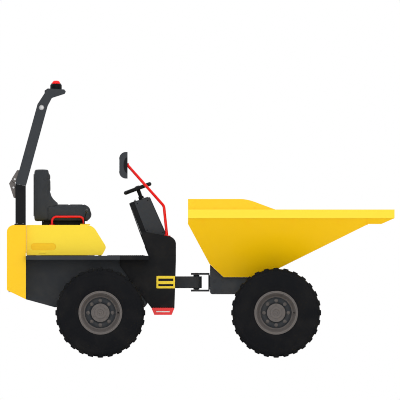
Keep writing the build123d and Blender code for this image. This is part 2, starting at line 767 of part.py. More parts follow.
# ---------------------------------------------------------------- cylinders
def barrel(base, eye, across, sizes):
    """Cylinder barrel with its base eye, bored for the rod."""
    tube, bore, start, end, eye_radius, eye_half, pin = sizes
    base, across = Vector(*base), Vector(*across)
    unit = (Vector(*eye) - base).normalized()
    shape = rod_between(tuple(base + unit * start), tuple(base + unit * end), tube)
    shape += rod_between(tuple(base - across * eye_half), tuple(base + across * eye_half), eye_radius)
    shape += rod_between(tuple(base), tuple(base + unit * (start + 1)), eye_half * 0.9)
    shape -= rod_between(tuple(base - across * 200), tuple(base + across * 200), pin)
    return shape - rod_between(tuple(base + unit * (start + 14)), tuple(base + unit * (end + 1)), bore + gap)


def rod(base, eye, across, sizes):
    """Piston rod from inside the barrel to its eye, pin included."""
    radius, inside, eye_radius, eye_half = sizes
    base, eye, across = Vector(*base), Vector(*eye), Vector(*across)
    unit = (eye - base).normalized()
    shape = rod_between(tuple(base + unit * inside), tuple(eye), radius)
    return shape + rod_between(tuple(eye - across * eye_half), tuple(eye + across * eye_half), eye_radius)


# ---------------------------------------------------------------- skip
tub_line = [(skip_back_x, rim_bottom), (skip_back_x, knee_z), (heel_x, heel_z), (floor_back_x, floor_z),
            (floor_front_x, floor_z), (slope_top_x, knee_z), (lip_x, knee_z), (spout_x, rim_bottom)]
bracket_inner = front_plate_inner - running_gap - 20
bracket_outer = front_plate_inner - running_gap


def slope_z(x):
    """Underside of the tub's long slope at x."""
    return floor_z + (x - floor_front_x) * slope


def inside_line(line, thickness):
    """The same open line moved inward (up) by thickness, with mitred corners; its ends stay level."""
    moved = []
    for n, (x, z) in enumerate(line):
        before = line[max(n - 1, 0)], line[max(n, 1)]
        after = line[min(n, len(line) - 2)], line[min(n + 1, len(line) - 1)]
        normals = []
        for (xa, za), (xb, zb) in (before, after):
            length = hypot(xb - xa, zb - za)
            normals.append((-(zb - za) / length, (xb - xa) / length))
        (ax, az), (bx, bz) = normals
        scale = thickness / (1 + ax * bx + az * bz)
        moved.append((x + (ax + bx) * scale, z + (az + bz) * scale))
    first, last = moved[0], moved[-1]
    run = (line[-1][0] - line[-2][0], line[-1][1] - line[-2][1])
    moved[-1] = (last[0] + (rim_bottom - last[1]) * run[0] / run[1], rim_bottom)
    moved[0] = (first[0], rim_bottom)
    return moved


def flared(x_low, x_high, inset, top):
    """Prism along X as wide as the tub at every height, less inset on each side."""
    low_z, low, high = floor_z - 20, floor_half_width - 20 * flare - inset, None
    high = floor_half_width + (top - floor_z) * flare - inset
    plane = Plane(origin=(x_low, 0, 0), x_dir=(0, 1, 0), z_dir=(1, 0, 0))
    face = make_face(Polyline((-low, low_z), (low, low_z), (high, top), (-high, top), close=True))
    return extrude(plane * face, amount=x_high - x_low)


side_inset = sheet * hypot(1, flare)


def tub_plates():
    """Bent plates between the tub's sides, from the back to the spout."""
    inner = inside_line(tub_line, sheet)
    inside = flared(skip_back_x - 10, spout_x + 10, side_inset, rim_bottom + 20)
    plates = []
    for n in range(len(tub_line) - 1):
        quad = [tub_line[n], tub_line[n + 1], inner[n + 1], inner[n]]
        plates.append(prism(quad, -rim_half_width, rim_half_width) & inside)
    return plates


def tub_sides():
    """Flared side plates, the full length of the tub."""
    whole = prism(tub_line, -rim_half_width, rim_half_width)
    outside = flared(skip_back_x - 10, spout_x + 10, 0, rim_bottom + 20)
    inside = flared(skip_back_x - 20, spout_x + 20, side_inset, rim_bottom + 40)
    return (whole & outside) - inside


def rim_bars():
    """Level bars around the tub's mouth: the two side bars, and the back and front bars."""
    sides = both_sides(block((skip_back_x, spout_x), (rim_half_width - rim_bar, rim_half_width),
                             (rim_bottom, rim_top)))
    inner = rim_half_width - rim_bar
    back = block((skip_back_x, skip_back_x + rim_bar), (-inner, inner), (rim_bottom, rim_top))
    front = block((spout_x - rim_bar, spout_x), (-inner, inner), (rim_bottom, rim_top))
    return sides, [back, front]


def guard_plates():
    """Spill guard on the rim: a back plate and two wings that run down to the rim."""
    high = rim_half_width - guard_inset
    wing = prism([(skip_back_x, rim_top), (guard_front_x, rim_top), (guard_level_x, guard_top, guard_bend_radius),
                  (skip_back_x, guard_top)], high - sheet, high)
    back = block((skip_back_x, skip_back_x + sheet), (-high + sheet, high - sheet), (rim_top, guard_top))
    return both_sides(wing), back


def skip_brackets():
    """Outer brackets down to the skip's pivots and middle lugs for the rod's eye."""
    reach = skip_pin_radius + 22
    bracket = prism([(bracket_back_x, slope_z(bracket_back_x)), (skip_pivot_x - 60, skip_pivot_z - reach + 14, 10),
                     (skip_pivot_x + reach, skip_pivot_z - reach, reach - 2),
                     (skip_pivot_x + reach, skip_pivot_z + reach, reach - 2),
                     (bracket_front_x, slope_z(bracket_front_x))],
                    bracket_inner, bracket_outer)
    bracket -= cross_rod(skip_pivot_x, skip_pivot_z, bracket_inner - 1, bracket_outer + 1, skip_pin_radius + gap)
    back, front = tip_eye_x - 60, tip_eye_x + 50
    lug = prism([(back, slope_z(back)), (tip_eye_x - eye_lug_reach, tip_eye_z - eye_lug_reach, eye_lug_reach - 4),
                 (tip_eye_x + eye_lug_reach, tip_eye_z - eye_lug_reach, eye_lug_reach - 4), (front, slope_z(front))],
                eye_lug_inner, eye_lug_inner + 15)
    return both_sides(bracket) + both_sides(lug)


eye_lug_inner = 28.0


# ---------------------------------------------------------------- engine cover, seat and hoop
def cover_outline(inset):
    """Engine cover's side outline, drawn in by inset; open at the foot when inset."""
    foot = cover_bottom - (5 if inset else 0)
    back = cover_back_x + inset
    brow_x = cover_brow_x - inset
    return [(back, foot), (back, cover_top - inset), (cover_top_x - 0.5 * inset, cover_top - inset,
                                                      cover_bend_radius - inset),
            (brow_x, cover_brow_z - 0.3 * inset, cover_brow_radius - inset),
            (cover_foot_x - (inset + 8 if inset else 0), foot, 0 if inset else cover_foot_radius)]


def engine_cover():
    """Hollow cover with a shallow pill recess in each side and blind holes for its hinge pins."""
    inside = cover_half_width - cover_skin
    shape = prism(cover_outline(0), -cover_half_width, cover_half_width)
    shape -= prism(cover_outline(cover_skin), -inside, inside)
    radius = (recess_z[1] - recess_z[0]) / 2 - 1
    corners = [(x, z, radius) for x, z in ((recess_x[0], recess_z[0]), (recess_x[1], recess_z[0]),
                                           (recess_x[1], recess_z[1]), (recess_x[0], recess_z[1]))]
    for side in both_sides(prism(corners, cover_half_width - recess_depth, cover_half_width + 1)):
        shape -= side
    for side in (-1, 1):
        shape -= cross_rod(cover_hinge_x, cover_hinge_z, *sorted((side * (inside - 1), side * (inside + 13))),
                           cover_hinge_radius)
        shape -= block((cover_hinge_x - 40, cover_brow_x), (side * inside, side * (inside - 32)),
                       (cover_bottom - 1, cover_hinge_z + 20))
    return shape


def seat_rail():
    """Left grab rail, both feet on the cover."""
    middle = rail_top - rail_tube_radius
    return bent_tube([(rail_x[0], rail_y, cover_top), (rail_x[0], rail_y, middle), (rail_x[1], rail_y, middle),
                      (rail_x[1], rail_y, cover_top)], rail_bend_radius, rail_tube_radius)


hoop_bend_x = -1529.0
hoop_crook = (-1487.0, hoop_top - 96.0)
hoop_chin = (-1359.0, hoop_top - 55.0)
hoop_nose = [(-1347.0, beam_front_z, 8), (-1363.0, hoop_top - 10.0, 8)]
hoop_rear = (-1631.0, hoop_top - 157.0)
hoop_line = [(post_x[0], split_back_z), (post_x[1] + 2, split_front_z), (hoop_bend_x, hoop_top - 176.0),
             (*hoop_crook, 20), hoop_chin, *hoop_nose, (hoop_bend_x, hoop_top, 60), hoop_rear]
hoop_beam = [(hoop_bend_x - 31, hoop_top - beam_depth), hoop_crook, hoop_chin, *hoop_nose,
             (hoop_bend_x, hoop_top), (hoop_bend_x - 31, hoop_top - 22.0)]


def hoop():
    """Upper hoop: two leaning posts that turn forward into a roof beam, with hinge ears on their backs."""
    split = gap
    posts = [(x, z + split if n < 2 else z, *radius) for n, (x, z, *radius) in enumerate(hoop_line)]
    shape = prism(hoop_beam, -post_inner - 1, post_inner + 1)
    lean = (hoop_rear[0] - post_x[0]) / (hoop_rear[1] - split_back_z)

    def back_x(z):
        return post_x[0] + (z - split_back_z) * lean

    ear = [(back_x(fold_z - 35) + 2, fold_z - 33), (back_x(fold_z + 90) + 2, fold_z + 90),
           (fold_x + 23, fold_z + 90), (fold_x - 31, fold_z + 3),
           (fold_x - 24, fold_z - 22, 10), (fold_x, fold_z - 32, 10)]
    low = post_middle - knuckle_plate / 2 - ear_gap - ear_plate
    high = post_middle + knuckle_plate / 2 + ear_gap
    for y in (low, high):
        for side in both_sides(prism(ear, y, y + ear_plate)):
            shape += side
    for side in both_sides(prism(posts, post_inner, post_outer)):
        shape += side
    for side in (-1, 1):
        shape -= cross_rod(fold_x, fold_z, *sorted((side * (post_inner - 1), side * (post_outer + 1))),
                           fold_pin_radius)
    return shape


def lower_posts():
    """Lower hoop posts with a hinge knuckle on the back of each."""
    post = prism([(post_x[0], tail_top), (post_x[1], tail_top), (post_x[1], split_front_z),
                  (post_x[0], split_back_z)], post_inner, post_outer)
    low, high = post_middle - knuckle_plate / 2, post_middle + knuckle_plate / 2
    knuckle = prism([(post_x[0] + 1, lock_z - 107), (lock_x + 2, lock_z - 102), (fold_x - 57, lock_z + 40),
                     (fold_x - 16, fold_z + 2),
                     (fold_x, fold_z), (fold_x, split_back_z), (post_x[0] - 4, split_back_z - 12),
                     (post_x[0] + 1, split_back_z - 18)], low, high)
    knuckle += cross_rod(fold_x, fold_z, low, high, knuckle_radius)
    for x, z in ((fold_x, fold_z), (lock_x, lock_z)):
        knuckle -= cross_rod(x, z, low - 1, high + 1, fold_pin_radius)
    return both_sides(post + knuckle)


def fold_pins():
    """Hinge pins and lock bolts of the folding hoop."""
    reach = knuckle_plate / 2 + ear_gap + ear_plate + 4
    radius = fold_pin_radius - gap
    pins = both_sides(cross_rod(fold_x, fold_z, post_middle - reach, post_middle + reach, radius))
    reach = knuckle_plate / 2 + 8
    return pins + both_sides(cross_rod(lock_x, lock_z, post_middle - reach, post_middle + reach, radius))


def hoop_rail():
    """Cross rail between the posts, with a cap on the outside of each."""
    rail = cross_rod(cross_rail_x, cross_rail_z, -post_inner, post_inner, cross_rail_radius)
    return [rail] + both_sides(cross_rod(cross_rail_x, cross_rail_z, post_outer, post_outer + 5, rail_cap_radius))


def beacon_base():
    """Beacon's foot, fitted to the roof beam's slope."""
    foot = rod_between((beacon_x, 0, beacon_foot_z), (beacon_x, 0, beacon_base_top), beacon_radius)
    foot = fillet(foot.edges().sort_by(Axis.Z)[-1], 14)
    return foot - prism(hoop_beam, -post_inner, post_inner)


def beacon_dome():
    """Beacon lens."""
    dome = rod_between((beacon_x, 0, beacon_base_top), (beacon_x, 0, beacon_base_top + dome_height), dome_radius)
    return fillet(dome.edges().sort_by(Axis.Z)[-1], 28)


# ---------------------------------------------------------------- nodes
def build():
    os.makedirs("parts", exist_ok=True)
    blank = tyre()
    for name, axle_x in (("rear", rear_axle_x), ("front", front_axle_x)):
        for side, out in (("left", 1), ("right", -1)):
            middle_y = out * wheel_track / 2
            save(f"{name}_{side}_tyre", Pos(axle_x, middle_y, 0) * blank)
            save(f"{name}_{side}_wheel", wheel(axle_x, middle_y, out))
    save("rear_axle", axle(rear_axle_x, frame_inner - 5, frame_outer + 5, frame_bottom))
    save("front_axle", axle(front_axle_x, front_plate_inner - 5, front_plate_outer + 5, axle_z + 50))

    save("rear_frame", rear_frame() + steer_base_bracket())
    save("tail_block", tail_block())
    save("tail_lamps", *tail_lamps())
    save("tow_pin", tow_pin())
    save("tail_grille", tail_grille())
    save("radiator", radiator())
    save("engine", engine())
    save("rear_deck", rear_deck())
    save("front_module", front_module())
    save("cowl", cowl())
    save("tower", tower())
    save("tower_panels", *tower_panels())
    save("steering_column", steering_column())
    save("steering_wheel", steering_wheel())
    save("mirror_arms", *both_sides(mirror_arm()))
    save("mirror_heads", *both_sides(mirror_head()))
    save("side_steps", *both_sides(side_step()))
    save("side_guards", *both_sides(side_guard()))
    save("tongue", tongue())

    save("yoke", yoke())
    save("articulation_pin", articulation_pin())
    save("front_frame", front_frame())
    save("skip_pins", *skip_pins())

    steer_base, steer_eye = (steer_base_x, steer_eye_y, tongue_height), (pivot_x, steer_eye_y, tongue_height)
    save("steer_barrel", barrel(steer_base, steer_eye, (0, 0, 1), (32, 17, 34, 285, 26, 31, 14)))
    save("steer_rod", rod(steer_base, steer_eye, (0, 0, 1), (17, 142, 28, tongue_depth / 2 + fork_gap - 2)))
    tip_base, tip_eye = (tip_base_x, 0, tip_base_z), (tip_eye_x, 0, tip_eye_z)
    save("tip_barrel", barrel(tip_base, tip_eye, (0, 1, 0), (38, 22, 40, 335, 30, 31, 18)))
    save("tip_rod", rod(tip_base, tip_eye, (0, 1, 0), (22, 80, 27, 26)))

    names = ("skip_back", "skip_upper_back", "skip_heel", "skip_floor", "skip_slope", "skip_lip", "skip_spout")
    plates = tub_plates()
    save("skip_back", plates[0], plates[1])
    for name, plate in zip(names[2:], plates[2:]):
        save(name, plate)
    save("skip_sides", tub_sides())
    side_bars, end_bars = rim_bars()
    save("rim_sides", *side_bars)
    save("rim_ends", *end_bars)
    wings, back = guard_plates()
    save("guard_wings", *wings)
    save("guard_back", back)
    save("skip_brackets", *skip_brackets())

    save("engine_cover", engine_cover())
    save("seat_plinth", block(plinth_x, (-plinth_half_width, plinth_half_width), (cover_top, plinth_top)))
    save("seat_cushion", prism([(seat_back_front_x + 0.5, plinth_top + gap), (seat_front_x, plinth_top + gap, 40),
                                (seat_front_x, seat_cushion_top, 80),
                                (seat_back_front_x + 0.5, seat_cushion_top)], -seat_half_width, seat_half_width))
    save("seat_back", prism([(seat_back_x, plinth_top + gap, 30), (seat_back_front_x, plinth_top + gap),
                             (seat_back_front_x, seat_top, 40), (seat_back_x, seat_top, 40)],
                            -seat_half_width, seat_half_width))
    save("seat_rails", *both_sides(seat_rail()))
    save("rops_posts", *lower_posts())
    save("fold_pins", *fold_pins())
    save("rops_hoop", hoop())
    save("hoop_rail", *hoop_rail())
    save("beacon_base", beacon_base())
    save("beacon_dome", beacon_dome())


build()
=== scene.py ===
"""Looks of a pivot-steered site dumper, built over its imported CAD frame."""

import json
import math
import sys

import bmesh
import bpy
import numpy as np
from bpy.props import FloatProperty, FloatVectorProperty, IntProperty, PointerProperty
from mathutils import Vector
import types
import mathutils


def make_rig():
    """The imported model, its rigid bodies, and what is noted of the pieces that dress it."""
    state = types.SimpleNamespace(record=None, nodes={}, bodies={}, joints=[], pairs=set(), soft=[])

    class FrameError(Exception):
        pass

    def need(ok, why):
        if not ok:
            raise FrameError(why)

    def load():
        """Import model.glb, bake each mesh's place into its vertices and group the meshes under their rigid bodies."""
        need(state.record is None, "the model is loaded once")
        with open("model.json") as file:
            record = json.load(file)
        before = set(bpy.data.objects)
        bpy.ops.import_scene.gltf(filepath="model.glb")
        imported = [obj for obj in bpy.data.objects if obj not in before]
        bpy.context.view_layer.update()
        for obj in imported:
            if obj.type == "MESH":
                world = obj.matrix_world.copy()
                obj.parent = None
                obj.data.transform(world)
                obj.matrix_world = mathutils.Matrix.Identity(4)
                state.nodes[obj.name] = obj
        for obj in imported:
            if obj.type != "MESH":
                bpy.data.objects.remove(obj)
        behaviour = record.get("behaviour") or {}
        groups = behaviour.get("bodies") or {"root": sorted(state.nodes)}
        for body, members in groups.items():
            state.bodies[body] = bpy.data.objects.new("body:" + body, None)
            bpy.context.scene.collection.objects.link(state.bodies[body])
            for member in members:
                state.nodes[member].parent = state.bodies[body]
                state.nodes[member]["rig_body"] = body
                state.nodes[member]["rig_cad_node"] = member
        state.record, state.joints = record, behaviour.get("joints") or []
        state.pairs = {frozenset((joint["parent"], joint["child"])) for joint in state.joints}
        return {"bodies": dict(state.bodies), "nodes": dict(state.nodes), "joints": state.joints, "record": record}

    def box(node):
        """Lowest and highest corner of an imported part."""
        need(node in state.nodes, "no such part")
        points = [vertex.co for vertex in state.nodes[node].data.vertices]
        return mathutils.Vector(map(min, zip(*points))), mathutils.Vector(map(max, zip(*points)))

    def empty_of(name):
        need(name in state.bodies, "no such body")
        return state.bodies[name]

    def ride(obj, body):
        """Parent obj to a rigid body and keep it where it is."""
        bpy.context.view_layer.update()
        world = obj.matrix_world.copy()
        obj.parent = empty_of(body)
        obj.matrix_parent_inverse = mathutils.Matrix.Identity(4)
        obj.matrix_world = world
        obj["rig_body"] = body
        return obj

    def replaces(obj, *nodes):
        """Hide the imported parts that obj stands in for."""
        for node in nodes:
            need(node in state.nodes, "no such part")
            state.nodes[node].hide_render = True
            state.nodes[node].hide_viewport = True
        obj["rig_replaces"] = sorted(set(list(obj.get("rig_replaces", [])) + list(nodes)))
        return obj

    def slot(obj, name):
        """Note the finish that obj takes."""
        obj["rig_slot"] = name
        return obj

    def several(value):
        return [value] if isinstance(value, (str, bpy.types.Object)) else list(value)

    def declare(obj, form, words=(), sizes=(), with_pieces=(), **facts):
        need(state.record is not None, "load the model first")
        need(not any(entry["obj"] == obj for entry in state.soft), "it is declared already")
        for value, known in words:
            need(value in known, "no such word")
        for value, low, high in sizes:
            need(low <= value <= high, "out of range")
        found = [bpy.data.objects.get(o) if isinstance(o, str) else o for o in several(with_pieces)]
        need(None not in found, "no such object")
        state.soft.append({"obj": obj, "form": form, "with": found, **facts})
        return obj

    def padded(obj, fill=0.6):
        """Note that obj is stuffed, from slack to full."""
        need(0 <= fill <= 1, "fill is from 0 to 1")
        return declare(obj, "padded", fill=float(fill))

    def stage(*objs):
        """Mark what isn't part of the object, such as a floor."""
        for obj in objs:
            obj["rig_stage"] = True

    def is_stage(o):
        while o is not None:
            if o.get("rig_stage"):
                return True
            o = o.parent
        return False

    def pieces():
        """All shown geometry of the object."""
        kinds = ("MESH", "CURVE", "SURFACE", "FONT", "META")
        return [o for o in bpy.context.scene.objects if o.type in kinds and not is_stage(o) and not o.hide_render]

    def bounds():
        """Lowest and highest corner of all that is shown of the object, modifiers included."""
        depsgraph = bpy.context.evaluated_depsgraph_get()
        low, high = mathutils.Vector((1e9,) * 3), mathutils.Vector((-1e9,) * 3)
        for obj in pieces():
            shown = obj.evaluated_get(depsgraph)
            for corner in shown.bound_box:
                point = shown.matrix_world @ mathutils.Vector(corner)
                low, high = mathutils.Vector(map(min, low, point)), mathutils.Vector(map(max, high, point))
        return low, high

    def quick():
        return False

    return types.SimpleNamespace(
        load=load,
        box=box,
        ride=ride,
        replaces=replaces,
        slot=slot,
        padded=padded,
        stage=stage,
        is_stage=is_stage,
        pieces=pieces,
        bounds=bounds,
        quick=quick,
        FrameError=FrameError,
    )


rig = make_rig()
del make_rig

bl_info = {
    "name": "Site dumper",
    "version": (1, 0, 0),
    "blender": (4, 5, 0),
    "location": "View3D > Sidebar > Dumper",
    "description": "Dresses a packed site dumper: paint, tyres, seat, console, skip and stage",
    "category": "Object",
}

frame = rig.load()
CAD_BOX = [list(corner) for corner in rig.bounds()]
PINS = {joint["name"]: joint for joint in frame["record"]["behaviour"]["joints"]}
CORNERS = ("front_left", "front_right", "rear_left", "rear_right")
SIDES = ((-1, "right"), (1, "left"))   # the sign of Y on each side
TWO_PI = 2 * math.pi


def srgb(text):
    """Linear colour from a six-digit hex text."""
    parts = [int(text[i:i + 2], 16) / 255 for i in (0, 2, 4)]
    return tuple(p / 12.92 if p <= 0.04045 else ((p + 0.055) / 1.055) ** 2.4 for p in parts)


def span(node, axis):
    """Lowest and highest value of a CAD node along an axis, in metres."""
    low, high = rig.box(node)
    return low[axis], high[axis]


# ------------------------------------------------------------------ surfaces
def mesh_piece(name, verts, faces, material, body, smooth=True, slot=None):
    """Mesh object from arrays, its doubles merged and its normals turned outwards, riding on a body."""
    mesh = bpy.data.meshes.new(name)
    mesh.from_pydata(np.asarray(verts, dtype=float).reshape(-1, 3).tolist(), [], [list(f) for f in faces])
    made = bmesh.new()
    made.from_mesh(mesh)
    bmesh.ops.remove_doubles(made, verts=made.verts, dist=1e-6)
    bmesh.ops.recalc_face_normals(made, faces=made.faces)
    made.to_mesh(mesh)
    made.free()
    mesh.shade_smooth() if smooth else mesh.shade_flat()
    piece = bpy.data.objects.new(name, mesh)
    bpy.context.collection.objects.link(piece)
    mesh.materials.append(bpy.data.materials[material])
    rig.slot(piece, slot or SLOTS[material])
    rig.ride(piece, body)
    return piece


def grid_faces(rows, columns, wrap_rows=False, wrap_columns=False):
    """Quads of a rows-by-columns grid, joined round either way."""
    r = np.arange(rows if wrap_rows else rows - 1)
    c = np.arange(columns if wrap_columns else columns - 1)
    r, c = (a.ravel() for a in np.meshgrid(r, c, indexing="ij"))
    r2, c2 = (r + 1) % rows, (c + 1) % columns
    return np.stack([r * columns + c, r * columns + c2, r2 * columns + c2, r2 * columns + c], axis=1)


def bar_faces(rings, columns):
    """Faces of a bar: its rings joined round and along, with a flat face across the first and the last."""
    faces = grid_faces(rings, columns, wrap_columns=True).tolist()
    ends = [list(range(columns))[::-1], list(range((rings - 1) * columns, rings * columns))]
    return faces + ends


def frame_of(axis):
    """An axis at unit length and two unit vectors square to it."""
    axis = np.asarray(axis, dtype=float)
    axis = axis / np.linalg.norm(axis)
    helper = np.array([0.0, 0.0, 1.0]) if abs(axis[2]) < 0.9 else np.array([1.0, 0.0, 0.0])
    side = np.cross(helper, axis)
    side /= np.linalg.norm(side)
    return axis, side, np.cross(axis, side)


def ring_of(side, up, count):
    """Unit circle cos t * side + sin t * up, at count even steps of t."""
    t = np.linspace(0, TWO_PI, count, endpoint=False)
    return np.cos(t)[:, None] * side + np.sin(t)[:, None] * up


def turned_grid(profile, centre, axis, columns=96):
    """Points centre + along * axis + radius * (cos t * side + sin t * up) for each (along, radius) and t."""
    axis, side, up = frame_of(axis)
    profile = np.asarray(profile, dtype=float)
    ring = ring_of(side, up, columns)
    return (np.asarray(centre, dtype=float) + profile[:, 0, None, None] * axis
            + profile[:, 1, None, None] * ring[None])


def turned(name, profile, centre, axis, material, body, columns=96, closed=True, **more):
    """A closed profile (along, radius) carried round an axis; an open one has its ends on the axis."""
    points = turned_grid(profile, centre, axis, columns)
    faces = grid_faces(len(profile), columns, wrap_rows=closed, wrap_columns=True)
    return mesh_piece(name, points, clean_faces(points, faces), material, body, **more)


def clean_faces(points, faces):
    """Faces with corners that share a place joined, and faces that lose their area dropped."""
    flat = np.round(np.asarray(points, dtype=float).reshape(-1, 3), 7)
    _, first, back = np.unique(flat, axis=0, return_index=True, return_inverse=True)
    back = back.ravel()
    kept = []
    for face in faces:
        ids = [int(first[back[i]]) for i in face]
        ids = [i for n, i in enumerate(ids) if i != ids[n - 1]]
        if len(set(ids)) > 2:
            kept.append(ids)
    return kept


def along_path(path, radius, sides=16, flat=1.0):
    """Rings of radius round each point of a path, square to it; flat squeezes them across."""
    path = np.asarray(path, dtype=float)
    run = np.gradient(path, axis=0)
    run /= np.linalg.norm(run, axis=1, keepdims=True)
    overall = path[-1] - path[0]
    runs_across = abs(overall[1]) >= 0.7 * np.linalg.norm(overall)
    helper = np.array([0.0, 0.0, 1.0]) if runs_across else np.array([0.0, 1.0, 0.0])
    side = np.cross(run, helper)
    side /= np.linalg.norm(side, axis=1, keepdims=True)
    up = np.cross(side, run)
    t = np.linspace(0, TWO_PI, sides, endpoint=False)
    radius = np.broadcast_to(radius, (len(path),))[:, None, None]
    return path[:, None] + radius * (np.cos(t)[None, :, None] * side[:, None] * flat
                                     + np.sin(t)[None, :, None] * up[:, None])


def tube(name, path, radius, material, body, sides=16, flat=1.0, **more):
    """Round or flattened bar along a path, closed at both ends by a fan."""
    path = np.asarray(path, dtype=float)
    rings = along_path(path, radius, sides, flat)
    rings = np.concatenate([np.repeat(path[:1, None], sides, axis=1), rings,
                            np.repeat(path[-1:, None], sides, axis=1)])
    faces = grid_faces(len(rings), sides, wrap_columns=True)
    return mesh_piece(name, rings, clean_faces(rings, faces), material, body, **more)


def smooth_path(points, count=48):
    """Curve through points: a cubic for each span, its end slopes half the chord over its neighbours."""
    p = np.asarray(points, dtype=float)
    p = np.vstack([2 * p[0] - p[1], p, 2 * p[-1] - p[-2]])
    u = np.linspace(0, len(p) - 3 - 1e-9, count)
    i = u.astype(int)
    t = (u - i)[:, None]
    a, b, c, d = p[i], p[i + 1], p[i + 2], p[i + 3]
    return 0.5 * (2 * b + (c - a) * t + (2 * a - 5 * b + 4 * c - d) * t ** 2
                  + (3 * b - a - 3 * c + d) * t ** 3)


def rounded(corners, radius, steps=6):
    """Outline with each corner cut by an arc tangent to both sides, as an (n, 2) array."""
    corners = np.asarray(corners, dtype=float)
    radius = np.broadcast_to(radius, (len(corners),))
    before, after = np.roll(corners, 1, axis=0) - corners, np.roll(corners, -1, axis=0) - corners
    before /= np.linalg.norm(before, axis=1, keepdims=True)
    after /= np.linalg.norm(after, axis=1, keepdims=True)
    half = np.arccos(np.clip((before * after).sum(axis=1), -1, 1)) / 2
    middle = before + after
    middle /= np.linalg.norm(middle, axis=1, keepdims=True)
    centre = corners + middle * (radius / np.sin(half))[:, None]
    start = corners + before * (radius / np.tan(half))[:, None] - centre
    end = corners + after * (radius / np.tan(half))[:, None] - centre
    t = np.linspace(0, 1, steps)[None, :, None]
    mixed = start[:, None] * (1 - t) + end[:, None] * t
    length = np.linalg.norm(mixed, axis=2, keepdims=True)
    length[length == 0] = 1
    arcs = centre[:, None] + mixed / length * radius[:, None, None]
    return arcs.reshape(-1, 2)


def slab_arrays(outline, low, high, axis):
    """Vertices and faces of an outline carried from low to high along X (0), Y (1) or Z (2)."""
    outline = np.asarray(outline, dtype=float)
    count = len(outline)
    others = [k for k in range(3) if k != axis]
    verts = np.zeros((2, count, 3))
    verts[..., others] = outline
    verts[0, :, axis], verts[1, :, axis] = low, high
    ids = np.arange(count)
    sides = np.stack([ids, (ids + 1) % count, (ids + 1) % count + count, ids + count], axis=1).tolist()
    return verts.reshape(-1, 3), sides + [ids[::-1].tolist(), (ids + count).tolist()]


def slab(name, outline, low, high, axis, material, body, bevel=0.0, **more):
    """Flat piece of an outline's shape, its edges eased by bevel."""
    verts, faces = slab_arrays(outline, low, high, axis)
    more.setdefault("smooth", False)
    piece = mesh_piece(name, verts, faces, material, body, **more)
    if bevel:
        ease(piece, bevel)
    return piece


def ease(piece, width, segments=2):
    """Bevel on the edges of a piece that turn by more than 35 degrees."""
    bevel = piece.modifiers.new("eased edges", "BEVEL")
    bevel.width, bevel.segments, bevel.limit_method = width, segments, "ANGLE"
    bevel.angle_limit = math.radians(35)
    bevel.harden_normals = True
    piece.data.shade_smooth()
    return piece


def box_outline(a, b):
    """Corners of the rectangle between two (u, v) points."""
    return np.array([(a[0], a[1]), (b[0], a[1]), (b[0], b[1]), (a[0], b[1])])


def block(name, low, high, material, body, bevel=0.002, **more):
    """Box between two corners with eased edges."""
    low, high = np.minimum(low, high), np.maximum(low, high)
    return slab(name, box_outline(low[:2], high[:2]), low[2], high[2], 2, material, body, bevel, **more)


def thin_plate(corners, along, thick):
    """Four-cornered plate: its corners, and the same moved by thick along a direction."""
    corners = np.asarray(corners, dtype=float)
    return (np.vstack([corners, corners + along * thick]),
            [[0, 1, 2, 3], [7, 6, 5, 4], [0, 4, 5, 1], [1, 5, 6, 2], [2, 6, 7, 3], [3, 7, 4, 0]])


def many(parts):
    """One vertex and face list from several."""
    verts, faces, start = [], [], 0
    for v, f in parts:
        v = np.asarray(v, dtype=float).reshape(-1, 3)
        verts.append(v)
        faces += [[i + start for i in face] for face in f]
        start += len(v)
    return np.vstack(verts), faces


def bolt_heads(name, places, axis, radius, height, material, body, sides=6, washer=1.45):
    """Hexagon heads on round washers at each place, standing out along an axis; washer is its share of the
    head's radius."""
    axis, side, up = frame_of(axis)
    seat = height * 0.25
    parts = []
    for count, wide, low, high, chamfer in ((24, radius * washer, 0, seat, 1.0),
                                            (sides, radius, seat, height, 0.86)):
        ring = ring_of(side, up, count)
        rows = [(low, wide), (low + (high - low) * 0.75, wide), (high, wide * chamfer)]
        one = np.stack([ring * reach + axis * rise for rise, reach in rows])
        parts += [(one + np.asarray(place), bar_faces(3, count)) for place in places]
    verts, faces = many(parts)
    return mesh_piece(name, verts, faces, material, body, smooth=False)


